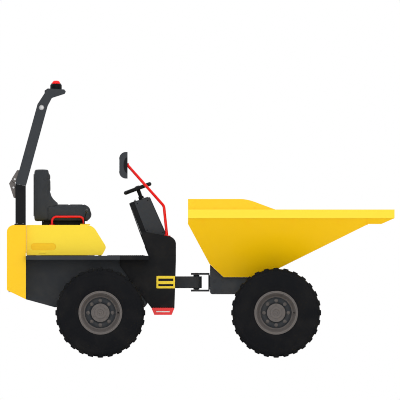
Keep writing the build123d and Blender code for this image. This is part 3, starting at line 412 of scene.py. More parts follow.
# ------------------------------------------------------------------ materials
SLOTS = {
    "body yellow": "body_yellow", "panel yellow": "panel_yellow", "chassis grey": "chassis_grey",
    "module black": "module_black", "access red": "access_red", "wheel taupe": "wheel_taupe",
    "bare steel": "bare_steel", "tyre rubber": "tyre_rubber", "seat vinyl": "seat_vinyl",
    "seat base": "seat_base_plastic", "mirror plastic": "mirror_plastic", "mirror glass": "bare_steel",
    "lens red": "lens_red", "lens amber": "lens_red", "lens clear": "lens_red",
    "beacon plastic": "beacon_plastic", "rod chrome": "rod_chrome", "wheel plastic": "rim_plastic",
    "hose rubber": "tyre_rubber", "gauge face": "rim_plastic", "pale strip": "bare_steel",
    "worn steel": "bare_steel", "floor rubber": "tyre_rubber",
}
FINISHES = {
    # name: colour, dust amount, roughness, metallic, coat, bump, grain scale
    "body yellow": ("body", 0.03, 0.42, 0.0, 0.05, 0.03, 5.0),
    "panel yellow": ("panel", 0.03, 0.42, 0.0, 0.05, 0.03, 5.0),
    "chassis grey": ("chassis", 0.07, 0.52, 0.0, 0.0, 0.15, 7.0),
    "module black": ("module", 0.05, 0.50, 0.0, 0.0, 0.15, 7.0),
    "access red": ("access", 0.06, 0.36, 0.0, 0.3, 0.03, 6.0),
    "wheel taupe": ("wheel", 0.05, 0.50, 0.0, 0.0, 0.10, 8.0),
    "bare steel": ("steel", 0.05, 0.38, 0.75, 0.0, 0.05, 9.0),
    "worn steel": ("steel", 0.30, 0.45, 0.8, 0.0, 0.2, 9.0),
    "tyre rubber": ("rubber", 0.015, 0.86, 0.0, 0.0, 0.35, 7.0),
    "floor rubber": ("rubber", 0.30, 0.85, 0.0, 0.0, 0.5, 9.0),
    "hose rubber": ("rubber", 0.08, 0.60, 0.0, 0.0, 0.3, 9.0),
    "seat vinyl": ("vinyl", 0.06, 0.56, 0.0, 0.0, 0.8, 9.0),
    "seat base": ("base", 0.08, 0.60, 0.0, 0.0, 0.2, 9.0),
    "mirror plastic": ("vinyl", 0.05, 0.48, 0.0, 0.0, 0.3, 9.0),
    "beacon plastic": ("module", 0.04, 0.45, 0.0, 0.0, 0.1, 9.0),
    "wheel plastic": ("module", 0.03, 0.42, 0.0, 0.0, 0.2, 9.0),
    "gauge face": ("base", 0.0, 0.25, 0.0, 0.6, 0.0, 9.0),
    "pale strip": ("pale", 0.05, 0.55, 0.0, 0.0, 0.1, 9.0),
    "rod chrome": ("chrome", 0.0, 0.12, 1.0, 0.0, 0.0, 9.0),
}
DUST = (0.42, 0.36, 0.28, 1.0)
DUST_TOP, DUST_FULL = 1.1, 0.1      # heights between which the dust thickens
SCOUR_TOP, SCOUR_FULL = 1.38, 0.95  # heights between which the load has scoured the tub more and more
SCOUR_STRETCH = (1.6, 7.0, 1.6)     # the scour marks run along X, the way that a load slides


def put_node(tree, kind, inputs, **attributes):
    """Shader node in a tree: attributes are set on it, and each input takes a value or a socket's link."""
    node = tree.nodes.new("ShaderNode" + kind)
    for label, value in attributes.items():
        setattr(node, label, value)
    for label, value in inputs.items():
        if isinstance(value, bpy.types.NodeSocket):
            tree.links.new(value, node.inputs[label])
        else:
            node.inputs[label].default_value = value
    return node


def product(tree, a, b):
    """Socket with a times b."""
    return put_node(tree, "Math", {0: a, 1: b}, operation="MULTIPLY").outputs[0]


def ramp(tree, source, low, high, bottom=0.0, top=1.0):
    """Socket that rises evenly from bottom to top while the source goes from low to high."""
    return put_node(tree, "MapRange", {"From Min": low, "From Max": high, "To Min": bottom, "To Max": top,
                                       "Value": source}).outputs["Result"]


def parts_of(tree, source):
    """X, Y and Z sockets of a vector."""
    return put_node(tree, "SeparateXYZ", {0: source}).outputs


def build_dust_group():
    """Site dust: base colour mixed towards dust where noise is high and the surface low, with the roughness
    raised by 0.45 times the dust's share, and a fine bump."""
    group = bpy.data.node_groups.new("site dust", "ShaderNodeTree")
    for label, kind, default in (("Colour", "Color", (0.5, 0.5, 0.5, 1)), ("Dust", "Color", DUST),
                                 ("Amount", "Float", 0.1), ("Roughness", "Float", 0.35),
                                 ("Grain scale", "Float", 6.0), ("Bump", "Float", 0.02)):
        socket = group.interface.new_socket(label, in_out="INPUT", socket_type="NodeSocket" + kind)
        socket.default_value = default
    for label, kind in (("Colour", "Color"), ("Roughness", "Float"), ("Normal", "Vector")):
        group.interface.new_socket(label, in_out="OUTPUT", socket_type="NodeSocket" + kind)
    given = group.nodes.new("NodeGroupInput").outputs
    place = put_node(group, "TexCoord", {}).outputs["Object"]
    lowness = ramp(group, parts_of(group, place)["Z"], DUST_TOP, DUST_FULL, bottom=0.25)
    blotch = put_node(group, "TexNoise", {"Vector": place, "Scale": given["Grain scale"], "Detail": 5.0})
    patches = product(group, ramp(group, blotch.outputs["Fac"], 0.42, 0.72), lowness)
    share = product(group, patches, given["Amount"])
    colour = put_node(group, "Mix", {"Factor": share, "A": given["Colour"], "B": given["Dust"]},
                      data_type="RGBA")
    rough = put_node(group, "Math", {0: share, 1: 0.45, 2: given["Roughness"]}, operation="MULTIPLY_ADD")
    fine = put_node(group, "TexNoise", {"Vector": place, "Scale": 240.0})
    bump = put_node(group, "Bump", {"Distance": 0.0006, "Strength": given["Bump"],
                                    "Height": fine.outputs["Fac"]})
    out = group.nodes.new("NodeGroupOutput").inputs
    group.links.new(colour.outputs["Result"], out["Colour"])
    group.links.new(rough.outputs[0], out["Roughness"])
    group.links.new(bump.outputs["Normal"], out["Normal"])


def new_material(name, colour, **inputs):
    """Material of a name and a viewport colour, with its Principled surface's inputs set; an underscore in an
    input's name stands for a space."""
    material = bpy.data.materials.new(name)
    material.use_nodes = True
    material.diffuse_color = (*colour, 1)
    shader = material.node_tree.nodes["Principled BSDF"]
    shader.inputs["Base Color"].default_value = (*colour, 1)
    for label, value in inputs.items():
        shader.inputs[label.replace("_", " ")].default_value = value
    return material, shader


def build_material(name, colour, dust, roughness, metallic, coat, bump, grain):
    """Principled surface whose colour, roughness and normal come from the site dust group."""
    shine = 0.5 if metallic else 0.2 if coat else 0.1
    material, shader = new_material(name, colour, Metallic=metallic, Specular_IOR_Level=shine,
                                    Coat_Weight=coat, Coat_Roughness=0.2)
    tree = material.node_tree
    group = put_node(tree, "Group", {}, node_tree=bpy.data.node_groups["site dust"])
    for label, value in (("Colour", (*colour, 1)), ("Dust", DUST), ("Amount", dust), ("Roughness", roughness),
                         ("Grain scale", grain), ("Bump", bump)):
        group.inputs[label].default_value = value
    for output, label in (("Colour", "Base Color"), ("Roughness", "Roughness"), ("Normal", "Normal")):
        tree.links.new(group.outputs[output], shader.inputs[label])
    return tree, shader, group


def build_skip_paint(colour, bare, strength):
    """Body paint, and inside the tub, where the surface faces up, scoured to the bare colour along the load's
    path. The scour is noise stretched along X; it fades towards the rim."""
    tree, shader, dust = build_material("skip paint", colour, *FINISHES["body yellow"][1:])
    place = put_node(tree, "TexCoord", {}).outputs
    upward = ramp(tree, parts_of(tree, place["Normal"])["Z"], 0.05, 0.20)
    deep = ramp(tree, parts_of(tree, place["Object"])["Z"], SCOUR_TOP, SCOUR_FULL)
    along = put_node(tree, "Mapping", {"Scale": SCOUR_STRETCH, "Vector": place["Object"]})
    scour = put_node(tree, "TexNoise", {"Vector": along.outputs["Vector"], "Scale": 4.0, "Detail": 8.0})
    share = product(tree, ramp(tree, scour.outputs["Fac"], 0.46, 0.80, top=strength),
                    product(tree, upward, deep))
    mix = put_node(tree, "Mix", {"Factor": share, "A": dust.outputs["Colour"], "B": (*bare, 1)},
                   data_type="RGBA")
    tree.links.new(mix.outputs["Result"], shader.inputs["Base Color"])


def repaint(node, material):
    """Give a CAD node another material."""
    materials = frame["nodes"][node].data.materials
    materials.clear()
    materials.append(bpy.data.materials[material])


# ------------------------------------------------------------------ settings
def colour_prop(name, words, text):
    """Colour setting whose default is a six-digit hex text."""
    return FloatVectorProperty(name=name, description=words, subtype="COLOR", size=3, min=0, max=1,
                               default=srgb(text))


def length_prop(name, words, default):
    """Length setting in metres."""
    return FloatProperty(name=name, description=words, default=default, min=0, unit="LENGTH", precision=4)


class DumperPaint(bpy.types.PropertyGroup):
    """Colours and dust."""
    body: colour_prop("Body", "Skip, tail and guards", "FFCB02")
    panel: colour_prop("Panel", "Engine cover and skip rim", "FFDF30")
    chassis: colour_prop("Chassis", "Frames, hoop and tower panels", "383B3F")
    module: colour_prop("Module", "Front module, lower posts and trim", "111215")
    access: colour_prop("Access", "Steps, rails and mirror arms", "F20505")
    wheel: colour_prop("Wheels", "Rims and hubs", "686361")
    steel: colour_prop("Steel", "Pins and bolts", "A9A9A9")
    rubber: colour_prop("Rubber", "Tyres", "141518")
    vinyl: colour_prop("Vinyl", "Seat and mirror heads", "383B3F")
    base: colour_prop("Base", "Seat base", "0E120D")
    pale: colour_prop("Pale", "Step inserts", "EEECE8")
    chrome: colour_prop("Chrome", "Piston rods", "E2E2E2")
    lens: colour_prop("Lens", "Beacon and tail lamps", "FF0000")
    dust: FloatProperty(name="Dust", description="Share of each finish's dust that shows", default=1.0, min=0,
                        max=4, subtype="FACTOR")
    wear: FloatProperty(name="Wear", description="How far the load has scoured the skip's inside",
                        default=0.35, min=0, max=1, subtype="FACTOR")


class DumperTyres(bpy.types.PropertyGroup):
    """Tyres and wheels."""
    lugs: IntProperty(name="Lugs", description="Lugs round each side of a tyre", default=28, min=8, max=60)
    lug_height: length_prop("Lug height", "Lug's rise from the carcass", 0.012)
    lug_width: length_prop("Lug width", "Lug's length along the tread", 0.045)
    sweep: FloatProperty(name="Sweep", description="Lug's slant from the middle to the shoulder",
                         default=math.radians(1.5), unit="ROTATION")
    studs: IntProperty(name="Studs", description="Wheel nuts", default=8, min=3, max=16)
    stud_circle: length_prop("Stud circle", "Radius of the ring of wheel nuts", 0.122)


class DumperSeat(bpy.types.PropertyGroup):
    """Seat padding."""
    swell: length_prop("Swell", "Furthest that the padding moves when it is filled", 0.014)
    voxel: length_prop("Voxel", "Grain of the padding's mesh", 0.006)
    seam: length_prop("Seam", "Depth of the sewn channels", 0.006)


class DumperStage(bpy.types.PropertyGroup):
    """Camera and light."""
    frame_width: length_prop("Frame width", "Width that the camera takes in", 3.997)
    key: FloatProperty(name="Key light", description="Strength of the large soft lamp", default=344.0, min=0,
                       unit="POWER")
    fill: FloatProperty(name="Sky light", description="Strength of the even light from all round",
                        default=0.86, min=0)


def settings():
    """The settings of the open scene."""
    return bpy.context.scene.dumper


class Dumper(bpy.types.PropertyGroup):
    """All settings."""
    paint: PointerProperty(type=DumperPaint)
    tyres: PointerProperty(type=DumperTyres)
    seat: PointerProperty(type=DumperSeat)
    stage: PointerProperty(type=DumperStage)


# ------------------------------------------------------------------ paint
AMBER, CLEAR, SCOURED = srgb("FF8A00"), srgb("F4F6F8"), srgb("8F8068")
SILVERED, FLOOR_GREY = (0.75, 0.78, 0.80), (0.86, 0.86, 0.86)


class DUMPER_OT_paint(bpy.types.Operator):
    """Build every finish and give the CAD nodes theirs"""
    bl_idname = "dumper.paint"
    bl_label = "Paint"

    def execute(self, context):
        paint = settings().paint
        build_dust_group()
        for name, (colour, dust, *finish) in FINISHES.items():
            build_material(name, tuple(getattr(paint, colour)), dust * paint.dust, *finish)
        # the lens materials glow; the reflectors take the glowing red lens too, and on them the glow is a painted
        # reflection, as a reflector is no lamp
        for name, colour, glow in (("lens red", tuple(paint.lens), 0.8), ("lens amber", AMBER, 0.1),
                                   ("lens clear", CLEAR, 0.05)):
            new_material(name, colour, Roughness=0.12, IOR=1.45, Emission_Color=(*colour, 1),
                         Emission_Strength=glow)
        new_material("mirror glass", SILVERED, Metallic=1.0, Roughness=0.04)
        for row in frame["record"]["subparts"]:
            finish = next(name for name, slot in SLOTS.items() if slot == row["material_slot"])
            repaint(row["node"], finish)
        for node in ("articulation_pin", "skip_pins", "tow_pin"):
            repaint(node, "worn steel")
        build_skip_paint(tuple(paint.body), SCOURED, paint.wear)
        for plate in ("back", "heel", "floor", "slope", "lip", "spout", "sides"):
            repaint(f"skip_{plate}", "skip paint")
        return {"FINISHED"}


# ------------------------------------------------------------------ tyres and wheels
def wheel_frame(corner):
    """Axle point, outward direction and body of a wheel."""
    centre = np.array(PINS[f"{corner}_spin"]["pos_m"])
    out = np.array([0.0, 1.0 if corner.endswith("left") else -1.0, 0.0])
    return centre, out, f"{corner}_wheel"


def spaced_round(centre, right, up, radius, count, first=0.0):
    """Points on a circle, at count even steps from the step first."""
    return [centre + radius * (math.cos(a) * right + math.sin(a) * up)
            for a in TWO_PI * (np.arange(count) + first) / count]


TYRE_SIDE = [  # (outward, radius) from the bead to the middle of the tread, with the lugs' roots as its top
    (0.119, 0.213), (0.128, 0.2155), (0.134, 0.2225), (0.139, 0.233), (0.1435, 0.243), (0.146, 0.25),
    (0.1462, 0.256), (0.149, 0.26), (0.1515, 0.275), (0.1535, 0.295), (0.1545, 0.315), (0.1545, 0.335),
    (0.153, 0.355), (0.15, 0.375), (0.149, 0.38), (0.151, 0.385), (0.1515, 0.393), (0.149, 0.406),
    (0.144, 0.418), (0.135, 0.426), (0.115, 0.431), (0.08, 0.435), (0.04, 0.4368), (0.0, 0.4375)]
BEAD_RADIUS = 0.2130
SHOULDER_RADIUS, SHOULDER_DEPTH = 0.38, 0.05   # a taller lug lowers the carcass from here to the crown
# a lug's stations from near the middle of the tread over the shoulder: distance out, fall of its top below
# the tread's radius, fall of its root, whether the root falls by the lug's height too, and how far it is
# drawn in
LUG_OUT = np.array([0.012, 0.060, 0.105, 0.134, 0.1455, 0.1485])
LUG_TOP_FALL = np.array([0, 0, 0.0005, 0.0045, 0.0185, 0.0260])
LUG_ROOT_FALL = np.array([0.004, 0.004, 0.004, 0.012, 0.042, 0.047])
LUG_RISES = np.array([1, 1, 1, 1, 0, 0])
LUG_ROOT_IN = np.array([0, 0, 0, 0, 0.012, 0.014])
LUG_ROOT_SPREAD = 1.25


def tyre_lugs(count, height, width, sweep, top):
    """Bars on both sides of the tread: each is a grid over (across, round) whose root follows the carcass and
    whose top is the tread's radius, running from near the middle over the shoulder."""
    crown = top - LUG_TOP_FALL
    root = top - height * LUG_RISES - LUG_ROOT_FALL
    half_top = width / 2 / top
    half_root = half_top * LUG_ROOT_SPREAD
    corners = ((root, -half_root, LUG_ROOT_IN), (crown, -half_top, 0), (crown, half_top, 0),
               (root, half_root, LUG_ROOT_IN))
    parts = []
    for side in (1, -1):
        for n in range(count):
            middle = TWO_PI * n / count + np.tan(sweep) * LUG_OUT / top
            grid = np.stack([np.stack([side * (LUG_OUT - shift), radius * np.cos(middle + spread),
                                       radius * np.sin(middle + spread)], 1)
                             for radius, spread, shift in corners], axis=1)
            parts.append((grid, bar_faces(len(LUG_OUT), len(corners))))
    return many(parts)


class DUMPER_OT_tyres(bpy.types.Operator):
    """Carcasses with moulded side walls, and treads of straight lugs"""
    bl_idname = "dumper.tyres"
    bl_label = "Tyres"

    def execute(self, context):
        sizes = settings().tyres
        low, high = span("front_left_tyre", 2)
        top = (high - low) / 2
        side = np.array(TYRE_SIDE)
        drop = side[-1, 1] - (top - sizes.lug_height)
        side[:, 1] -= drop * np.clip((side[:, 1] - SHOULDER_RADIUS) / SHOULDER_DEPTH, 0, 1)
        profile = np.vstack([side, side[-2::-1] * (-1, 1), [(0.0, BEAD_RADIUS)]])
        for corner in CORNERS:
            centre, out, body = wheel_frame(corner)
            carcass = turned(f"{corner}_carcass", profile, centre, out, "tyre rubber", body, columns=168)
            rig.replaces(carcass, f"{corner}_tyre")
            axis, right, up = frame_of(out)
            verts, faces = tyre_lugs(sizes.lugs, sizes.lug_height, sizes.lug_width, sizes.sweep, top)
            placed = centre + verts[:, :1] * axis + verts[:, 1:2] * right + verts[:, 2:3] * up
            lugs = mesh_piece(f"{corner}_lugs", placed, faces, "tyre rubber", body, smooth=False)
            ease(lugs, 0.003)
        return {"FINISHED"}


# each wheel's trim: distances outward from the middle of the wheel, and radii about its axle
DISC_FACE = 0.036
NUT_RADIUS, NUT_HEIGHT, STUD_RADIUS, STUD_HEIGHT = 0.0135, 0.017, 0.006, 0.010
CAP_FACE, CAP_CIRCLE, CAP_BOLTS = 0.062, 0.076, 6
VALVE_FOOT, VALVE_TIP = (0.100, 0.181), (0.140, 0.170)
WHEEL_RINGS = {
    "hub_rings": [(0.0618, 0.030), (0.0655, 0.032), (0.0655, 0.058), (0.0645, 0.0595), (0.0618, 0.0605)],
    "rim_lip": [(0.134, 0.2185), (0.1372, 0.2170), (0.1385, 0.2130), (0.1372, 0.2090), (0.134, 0.2075)],
}
VALVE_RADII = np.array([0.006, 0.006, 0.005, 0.004, 0.004, 0.0035])
DRAIN_PLUG = [(0.0650, 0.0), (0.0650, 0.014), (0.0690, 0.014), (0.0705, 0.012), (0.0705, 0.0)]


class DUMPER_OT_wheels(bpy.types.Operator):
    """Dark discs, wheel nuts, hub rings, cap bolts, drain plugs, rim lips and valves"""
    bl_idname = "dumper.wheels"
    bl_label = "Wheels"

    def execute(self, context):
        sizes = settings().tyres
        for corner in CORNERS:
            centre, out, body = wheel_frame(corner)
            axis, right, up = frame_of(out)
            face, front = DISC_FACE, DISC_FACE + 0.003
            turned(f"{corner}_disc", [(face, 0.0925), (front, 0.0935), (front, 0.1530), (face, 0.1545),
                                      (face - 0.002, 0.15), (face - 0.002, 0.095)],
                   centre, out, "chassis grey", body)
            nuts = spaced_round(centre + axis * front, right, up, sizes.stud_circle, sizes.studs)
            bolt_heads(f"{corner}_nuts", nuts, out, NUT_RADIUS, NUT_HEIGHT, "wheel taupe", body, washer=1.36)
            tips = [nut + axis * (NUT_HEIGHT - 0.002) for nut in nuts]
            bolt_heads(f"{corner}_stud_tips", tips, out, STUD_RADIUS, STUD_HEIGHT, "wheel taupe", body,
                       sides=16, washer=1.0)
            for name, profile in WHEEL_RINGS.items():
                turned(f"{corner}_{name}", profile, centre, out, "wheel taupe", body)
            cap = spaced_round(centre + axis * CAP_FACE, right, up, CAP_CIRCLE, CAP_BOLTS, 0.5)
            bolt_heads(f"{corner}_cap_bolts", cap, out, 0.0055, 0.006, "wheel taupe", body)
            turned(f"{corner}_drain_plug", DRAIN_PLUG, centre, out, "wheel taupe", body, columns=6,
                   smooth=False, closed=False)
            foot, tip = (centre + axis * along + right * off for along, off in (VALVE_FOOT, VALVE_TIP))
            stem = np.linspace(foot, tip, len(VALVE_RADII))
            tube(f"{corner}_valve", stem, VALVE_RADII, "hose rubber", body, sides=12)
        return {"FINISHED"}


# ------------------------------------------------------------------ seat
BOX_SHARE = 0.015         # how much of the plain box is left in a pad's form
FILL_FRAMES = 20
TUCK = 0.030              # the cushion's rear end lies this far under the backrest
SQUARENESS = 14.0         # power of the pads' superellipsoid
NOSE_TOP, NOSE_FOOT = 0.046, 0.060           # radii of the cushion's front corners
SWEEP_REACH, SWEEP_HEIGHT = 0.106, 0.13      # the backrest's foot runs forward into the cushion
ROOM_SHARE = 0.45         # a pad starts this share of its swell inside its node
SEAM_WIDTH = 0.007
SEAM_SIDE = 0.060         # the lengthways channels lie this far in from the cushion's sides
CUSHION_SEAMS, BACK_SEAMS = (0.085, 0.225), (0.105, 0.225)   # from the cushion's front and the backrest's top
AWAY = 9                  # added to a seam's distance where the seam isn't sewn


def padding(name, low, high, crown, power, body):
    """Crowned closed form of a cushion, before it is filled: a box drawn towards the superellipsoid of a
    power, whose (u, v) grid bulges by crown times (1 - u^2)(1 - v^2) on each face."""
    count = 25   # points along each edge of a face
    low, high = np.array(low), np.array(high)
    middle, half = (low + high) / 2, (high - low) / 2
    u = np.linspace(-1, 1, count)
    a, b = np.meshgrid(u, u, indexing="ij")
    parts = []
    ids = grid_faces(count, count).tolist()
    for axis in range(3):
        others = [k for k in range(3) if k != axis]
        for side in (-1, 1):
            points = np.zeros((count, count, 3))
            points[..., others[0]], points[..., others[1]] = a, b
            points[..., axis] = side
            parts.append((points.reshape(-1, 3), ids))
    verts, faces = many(parts)
    cube = np.clip(verts, -1, 1)
    keep = np.abs(cube)
    norm = (keep ** power).sum(axis=1) ** (1 / power)
    cube = cube / norm[:, None] * (1 - BOX_SHARE) + cube * BOX_SHARE
    for axis, swell in enumerate(crown):
        others = [k for k in range(3) if k != axis]
        dome = np.prod([1 - np.clip(cube[:, k], -1, 1) ** 2 for k in others], axis=0)
        cube[:, axis] += np.sign(cube[:, axis]) * dome * swell / half[axis] * (np.abs(cube[:, axis]) > 0.6)
    return mesh_piece(name, middle + cube * half, clean_faces(verts, faces), "seat vinyl", body)


def round_front(points, front, edge, up, radius):
    """Draw the points of a pad's front corner in to a quarter circle: any point further than the radius from
    the circle's middle moves straight back to it."""
    ahead, rise = points[:, 0] - (front - radius), up * (points[:, 2] - edge) + radius
    length = np.hypot(ahead, rise)
    share = np.where((ahead > 0) & (rise > 0), np.minimum(1, radius / np.maximum(length, 1e-9)), 1)
    points[:, 0] += ahead * (share - 1)
    points[:, 2] += up * rise * (share - 1)


def fill_padding(piece, voxel, cap, pinned):
    """Fill a pad: remesh it evenly, let cloth under pressure swell it with pinned points held, hold every
    point within cap of where it began, and keep the result."""
    scene = bpy.context.scene
    view = bpy.context.view_layer
    view.objects.active = piece
    remesh = piece.modifiers.new("even", "REMESH")
    remesh.mode, remesh.voxel_size = "VOXEL", voxel
    apply_modifiers(piece)
    start = read_points(piece)
    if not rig.quick():
        group = piece.vertex_groups.new(name="held")
        held = np.nonzero(pinned(start))[0].tolist()
        group.add(held, 1.0, "REPLACE")
        cloth = piece.modifiers.new("filling", "CLOTH")
        cloth.settings.quality = 5
        cloth.settings.mass = 0.4
        cloth.settings.tension_stiffness = cloth.settings.compression_stiffness = 18
        cloth.settings.bending_stiffness = 4
        cloth.settings.use_pressure = True
        cloth.settings.uniform_pressure_force = 4.0
        cloth.settings.vertex_group_mass = "held"
        cloth.settings.effector_weights.gravity = 0
        cloth.collision_settings.use_collision = False
        cloth.point_cache.frame_start, cloth.point_cache.frame_end = 1, FILL_FRAMES
        for number in range(1, FILL_FRAMES + 1):
            scene.frame_set(number)
        apply_modifiers(piece)
        scene.frame_set(1)
        moved = read_points(piece)
        step = moved - start
        length = np.linalg.norm(step, axis=1, keepdims=True)
        write_points(piece, start + step * np.minimum(1, cap / np.maximum(length, 1e-9)))
        piece.vertex_groups.clear()
    smooth = piece.modifiers.new("even out", "SMOOTH")
    smooth.factor, smooth.iterations = 0.5, 4
    apply_modifiers(piece)


def apply_modifiers(piece):
    """Keep what the modifiers make as the piece's own mesh."""
    made = bpy.data.meshes.new_from_object(piece.evaluated_get(bpy.context.evaluated_depsgraph_get()))
    piece.modifiers.clear()
    piece.data = made
    made.shade_smooth()


def read_points(piece):
    """A piece's points as an (n, 3) array."""
    points = np.empty(len(piece.data.vertices) * 3)
    piece.data.vertices.foreach_get("co", points)
    return points.reshape(-1, 3)


def write_points(piece, points):
    """Move a piece's points to the rows of an (n, 3) array."""
    piece.data.vertices.foreach_set("co", np.ascontiguousarray(points).ravel())
    piece.data.update()


def sewn(piece, lines, depth, width):
    """Press sewn channels into a pad: each point moves against its normal by depth * exp(-(d / width)^2),
    where d is its distance from the nearest line."""
    points = read_points(piece)
    normals = np.empty(len(piece.data.vertices) * 3)
    piece.data.vertices.foreach_get("normal", normals)
    near = np.min([line(points) for line in lines], axis=0)
    points -= normals.reshape(-1, 3) * (depth * np.exp(-(near / width) ** 2))[:, None]
    write_points(piece, points)


class DUMPER_OT_seat(bpy.types.Operator):
    """Cushion and backrest of filled vinyl with sewn channels, and the tray and shell that carry them"""
    bl_idname = "dumper.seat"
    bl_label = "Seat"

    def execute(self, context):
        sizes = settings().seat
        room = sizes.swell * ROOM_SHARE
        low, high = (np.array(c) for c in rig.box("seat_cushion"))
        back_low, back_high = (np.array(c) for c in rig.box("seat_back"))
        cushion = self.cushion(low, high, room, sizes)
        back = self.backrest(back_low, back_high, high[2], room, sizes)
        for pad, floor, top, front in ((cushion, low - (TUCK, 0, 0), high, 0.004),
                                       (back, back_low, back_high, 0.11)):
            write_points(pad, np.clip(read_points(pad), floor, top + (front, 0.006, 0.006)))
        self.sew_channels(cushion, back, (low, high), back_high)
        for pad in (cushion, back):
            subdivide = pad.modifiers.new("smooth", "SUBSURF")
            subdivide.levels = subdivide.render_levels = 1
            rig.padded(pad, fill=0.75)
        self.tray(low, high)
        self.back_shell(back_low, back_high)
        return {"FINISHED"}

    def cushion(self, low, high, room, sizes):
        """Cushion with round front corners, filled with its foot and its tucked end held."""
        pad = padding("seat_cushion_pad", low + (-TUCK, room, 0.002), high - (room, room, room),
                      (0.004, 0.004, 0.008), SQUARENESS, "cover")
        points = read_points(pad)
        for radius, up, edge in ((NOSE_TOP, 1, high[2] - room), (NOSE_FOOT, -1, low[2] + 0.002)):
            round_front(points, high[0] - room, edge, up, radius)
        write_points(pad, points)
        fill_padding(pad, sizes.voxel, sizes.swell, lambda p: (p[:, 2] < low[2] + 0.015) | (p[:, 0] < low[0]))
        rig.replaces(pad, "seat_cushion")
        return pad

    def backrest(self, low, high, foot, room, sizes):
        """Backrest whose front sweeps out to the cushion: its points move forward by the reach, times the
        share of the height left to the power 2.2, times the cube of how near the front they are."""
        pad = padding("seat_back_pad", low + (room, room, 0.002), high - (0.010, room, room),
                      (0.004, 0.004, 0.004), SQUARENESS, "cover")
        points = read_points(pad)
        left = np.clip(1 - (points[:, 2] - foot) / SWEEP_HEIGHT, 0, 1) * (points[:, 2] > foot - 0.02)
        front = np.clip((points[:, 0] - low[0]) / (high[0] - low[0]), 0, 1) ** 3
        points[:, 0] += SWEEP_REACH * left ** 2.2 * front
        write_points(pad, points)
        fill_padding(pad, sizes.voxel, sizes.swell, lambda p: (p[:, 2] < low[2] + 0.02)
                     | (p[:, 2] > high[2] - 0.045) | (p[:, 0] < low[0] + 0.012))
        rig.replaces(pad, "seat_back")
        return pad

    def sew_channels(self, cushion, back, box, back_high):
        """Two channels along each pad and two across it, the second of them between the first two. AWAY is
        added to the distance where none is sewn: near the cushion's foot and behind the backrest's front."""
        low, high = box
        side_y, foot, skin = (high[1] - low[1]) / 2 - SEAM_SIDE, low[2] + 0.08, back_high[0] - 0.06

        def channel(axis, place, unsewn):
            return lambda p: np.abs(p[:, axis] - place) + AWAY * unsewn(p)

        sewn(cushion, [lambda p: np.abs(np.abs(p[:, 1]) - side_y) + AWAY * (p[:, 2] < foot),
                       channel(0, high[0] - CUSHION_SEAMS[0], lambda p: p[:, 2] < low[2] + 0.06),
                       channel(0, high[0] - CUSHION_SEAMS[1],
                               lambda p: (np.abs(p[:, 1]) > side_y) | (p[:, 2] < foot))],
             settings().seat.seam, SEAM_WIDTH)
        sewn(back, [lambda p: np.abs(np.abs(p[:, 1]) - side_y) + AWAY * (p[:, 0] < skin),
                    channel(2, back_high[2] - BACK_SEAMS[0], lambda p: p[:, 0] < skin),
                    channel(2, back_high[2] - BACK_SEAMS[1],
                            lambda p: (np.abs(p[:, 1]) > side_y) | (p[:, 0] < skin))],
             settings().seat.seam, SEAM_WIDTH)

    def tray(self, low, high):
        """Tray under the cushion: a rounded plate in plan."""
        back, front, side = low[0] - 0.06, high[0] - 0.040, high[1] - 0.012
        loop = rounded([(back, low[1] + 0.012), (front, low[1] + 0.012), (front, side), (back, side)],
                       [0.01, 0.05, 0.05, 0.01], 10)
        verts, faces = slab_arrays(loop, low[2] - 0.0004, low[2] + 0.012, 2)
        ease(mesh_piece("seat_cushion_tray", verts, faces, "seat base", "cover", smooth=False), 0.004, 3)

    def back_shell(self, low, high):
        """Moulded shell behind the backrest: a thin plate with rounded corners."""
        half, foot, top = 0.205, low[2] + 0.05, high[2] - 0.05
        plate = rounded(box_outline((-half, foot), (half, top)), 0.05, 10)
        slab("seat_back_shell", plate, low[0] - 0.0015, low[0] + 0.006, 0, "seat base", "cover", bevel=0.002)


# ------------------------------------------------------------------ engine cover and tail
PILL = ((-1.698, 1.075), (-1.446, 1.145))   # the recess in the cover's sides, (x, z) corners
COVER_SEAL_FRONT = -1.06
RAIL_Y, RAIL_INSET = 0.268, 0.011   # the seat rails' feet: from the middle, and in from the rails' ends
RAIL_FLANGE = [(0.0, 0.0115), (0.0, 0.027), (0.003, 0.028), (0.005, 0.026), (0.005, 0.0115)]


class DUMPER_OT_cover(bpy.types.Operator):
    """Pill inlays, foot seal, rail flanges and rear latches of the engine cover"""
    bl_idname = "dumper.cover"
    bl_label = "Engine cover"

    def execute(self, context):
        low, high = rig.box("engine_cover")
        body = "cover"
        pill = rounded(box_outline(*PILL), 0.0335, 12)
        for side, label in SIDES:
            skin = side * high[1]
            slab(f"cover_pill_{label}", pill * 0.992 + pill.mean(axis=0) * 0.008, skin - side * 0.0065,
                 skin - side * 0.0020, 1, "body yellow", body, bevel=0.0015)
            for n, x in enumerate(span("seat_rails", 0)):
                foot = np.array((x + (RAIL_INSET if n == 0 else -RAIL_INSET), side * RAIL_Y, high[2]))
                turned(f"rail_flange_{label}_{n}", RAIL_FLANGE, foot, (0, 0, 1), "access red", body,
                       columns=40)
                bolt_heads(f"rail_bolts_{label}_{n}", [foot + (0, s * 0.020, 0.005) for s in (-1, 1)],
                           (0, 0, 1), 0.0035, 0.004, "bare steel", body)
            block(f"cover_seal_{label}", (low[0] + 0.03, side * (high[1] - 0.016), low[2] - 0.0046),
                  (COVER_SEAL_FRONT, side * (high[1] - 0.006), low[2] + 0.0005), "hose rubber", body,
                  bevel=0.001)
            latch = np.array((low[0] + 0.16, skin, low[2] + 0.028))
            block(f"cover_latch_{label}", latch + (-0.030, -0.001 * side, -0.011),
                  latch + (0.030, 0.004 * side, 0.011), "panel yellow", body, bevel=0.002)
        return {"FINISHED"}


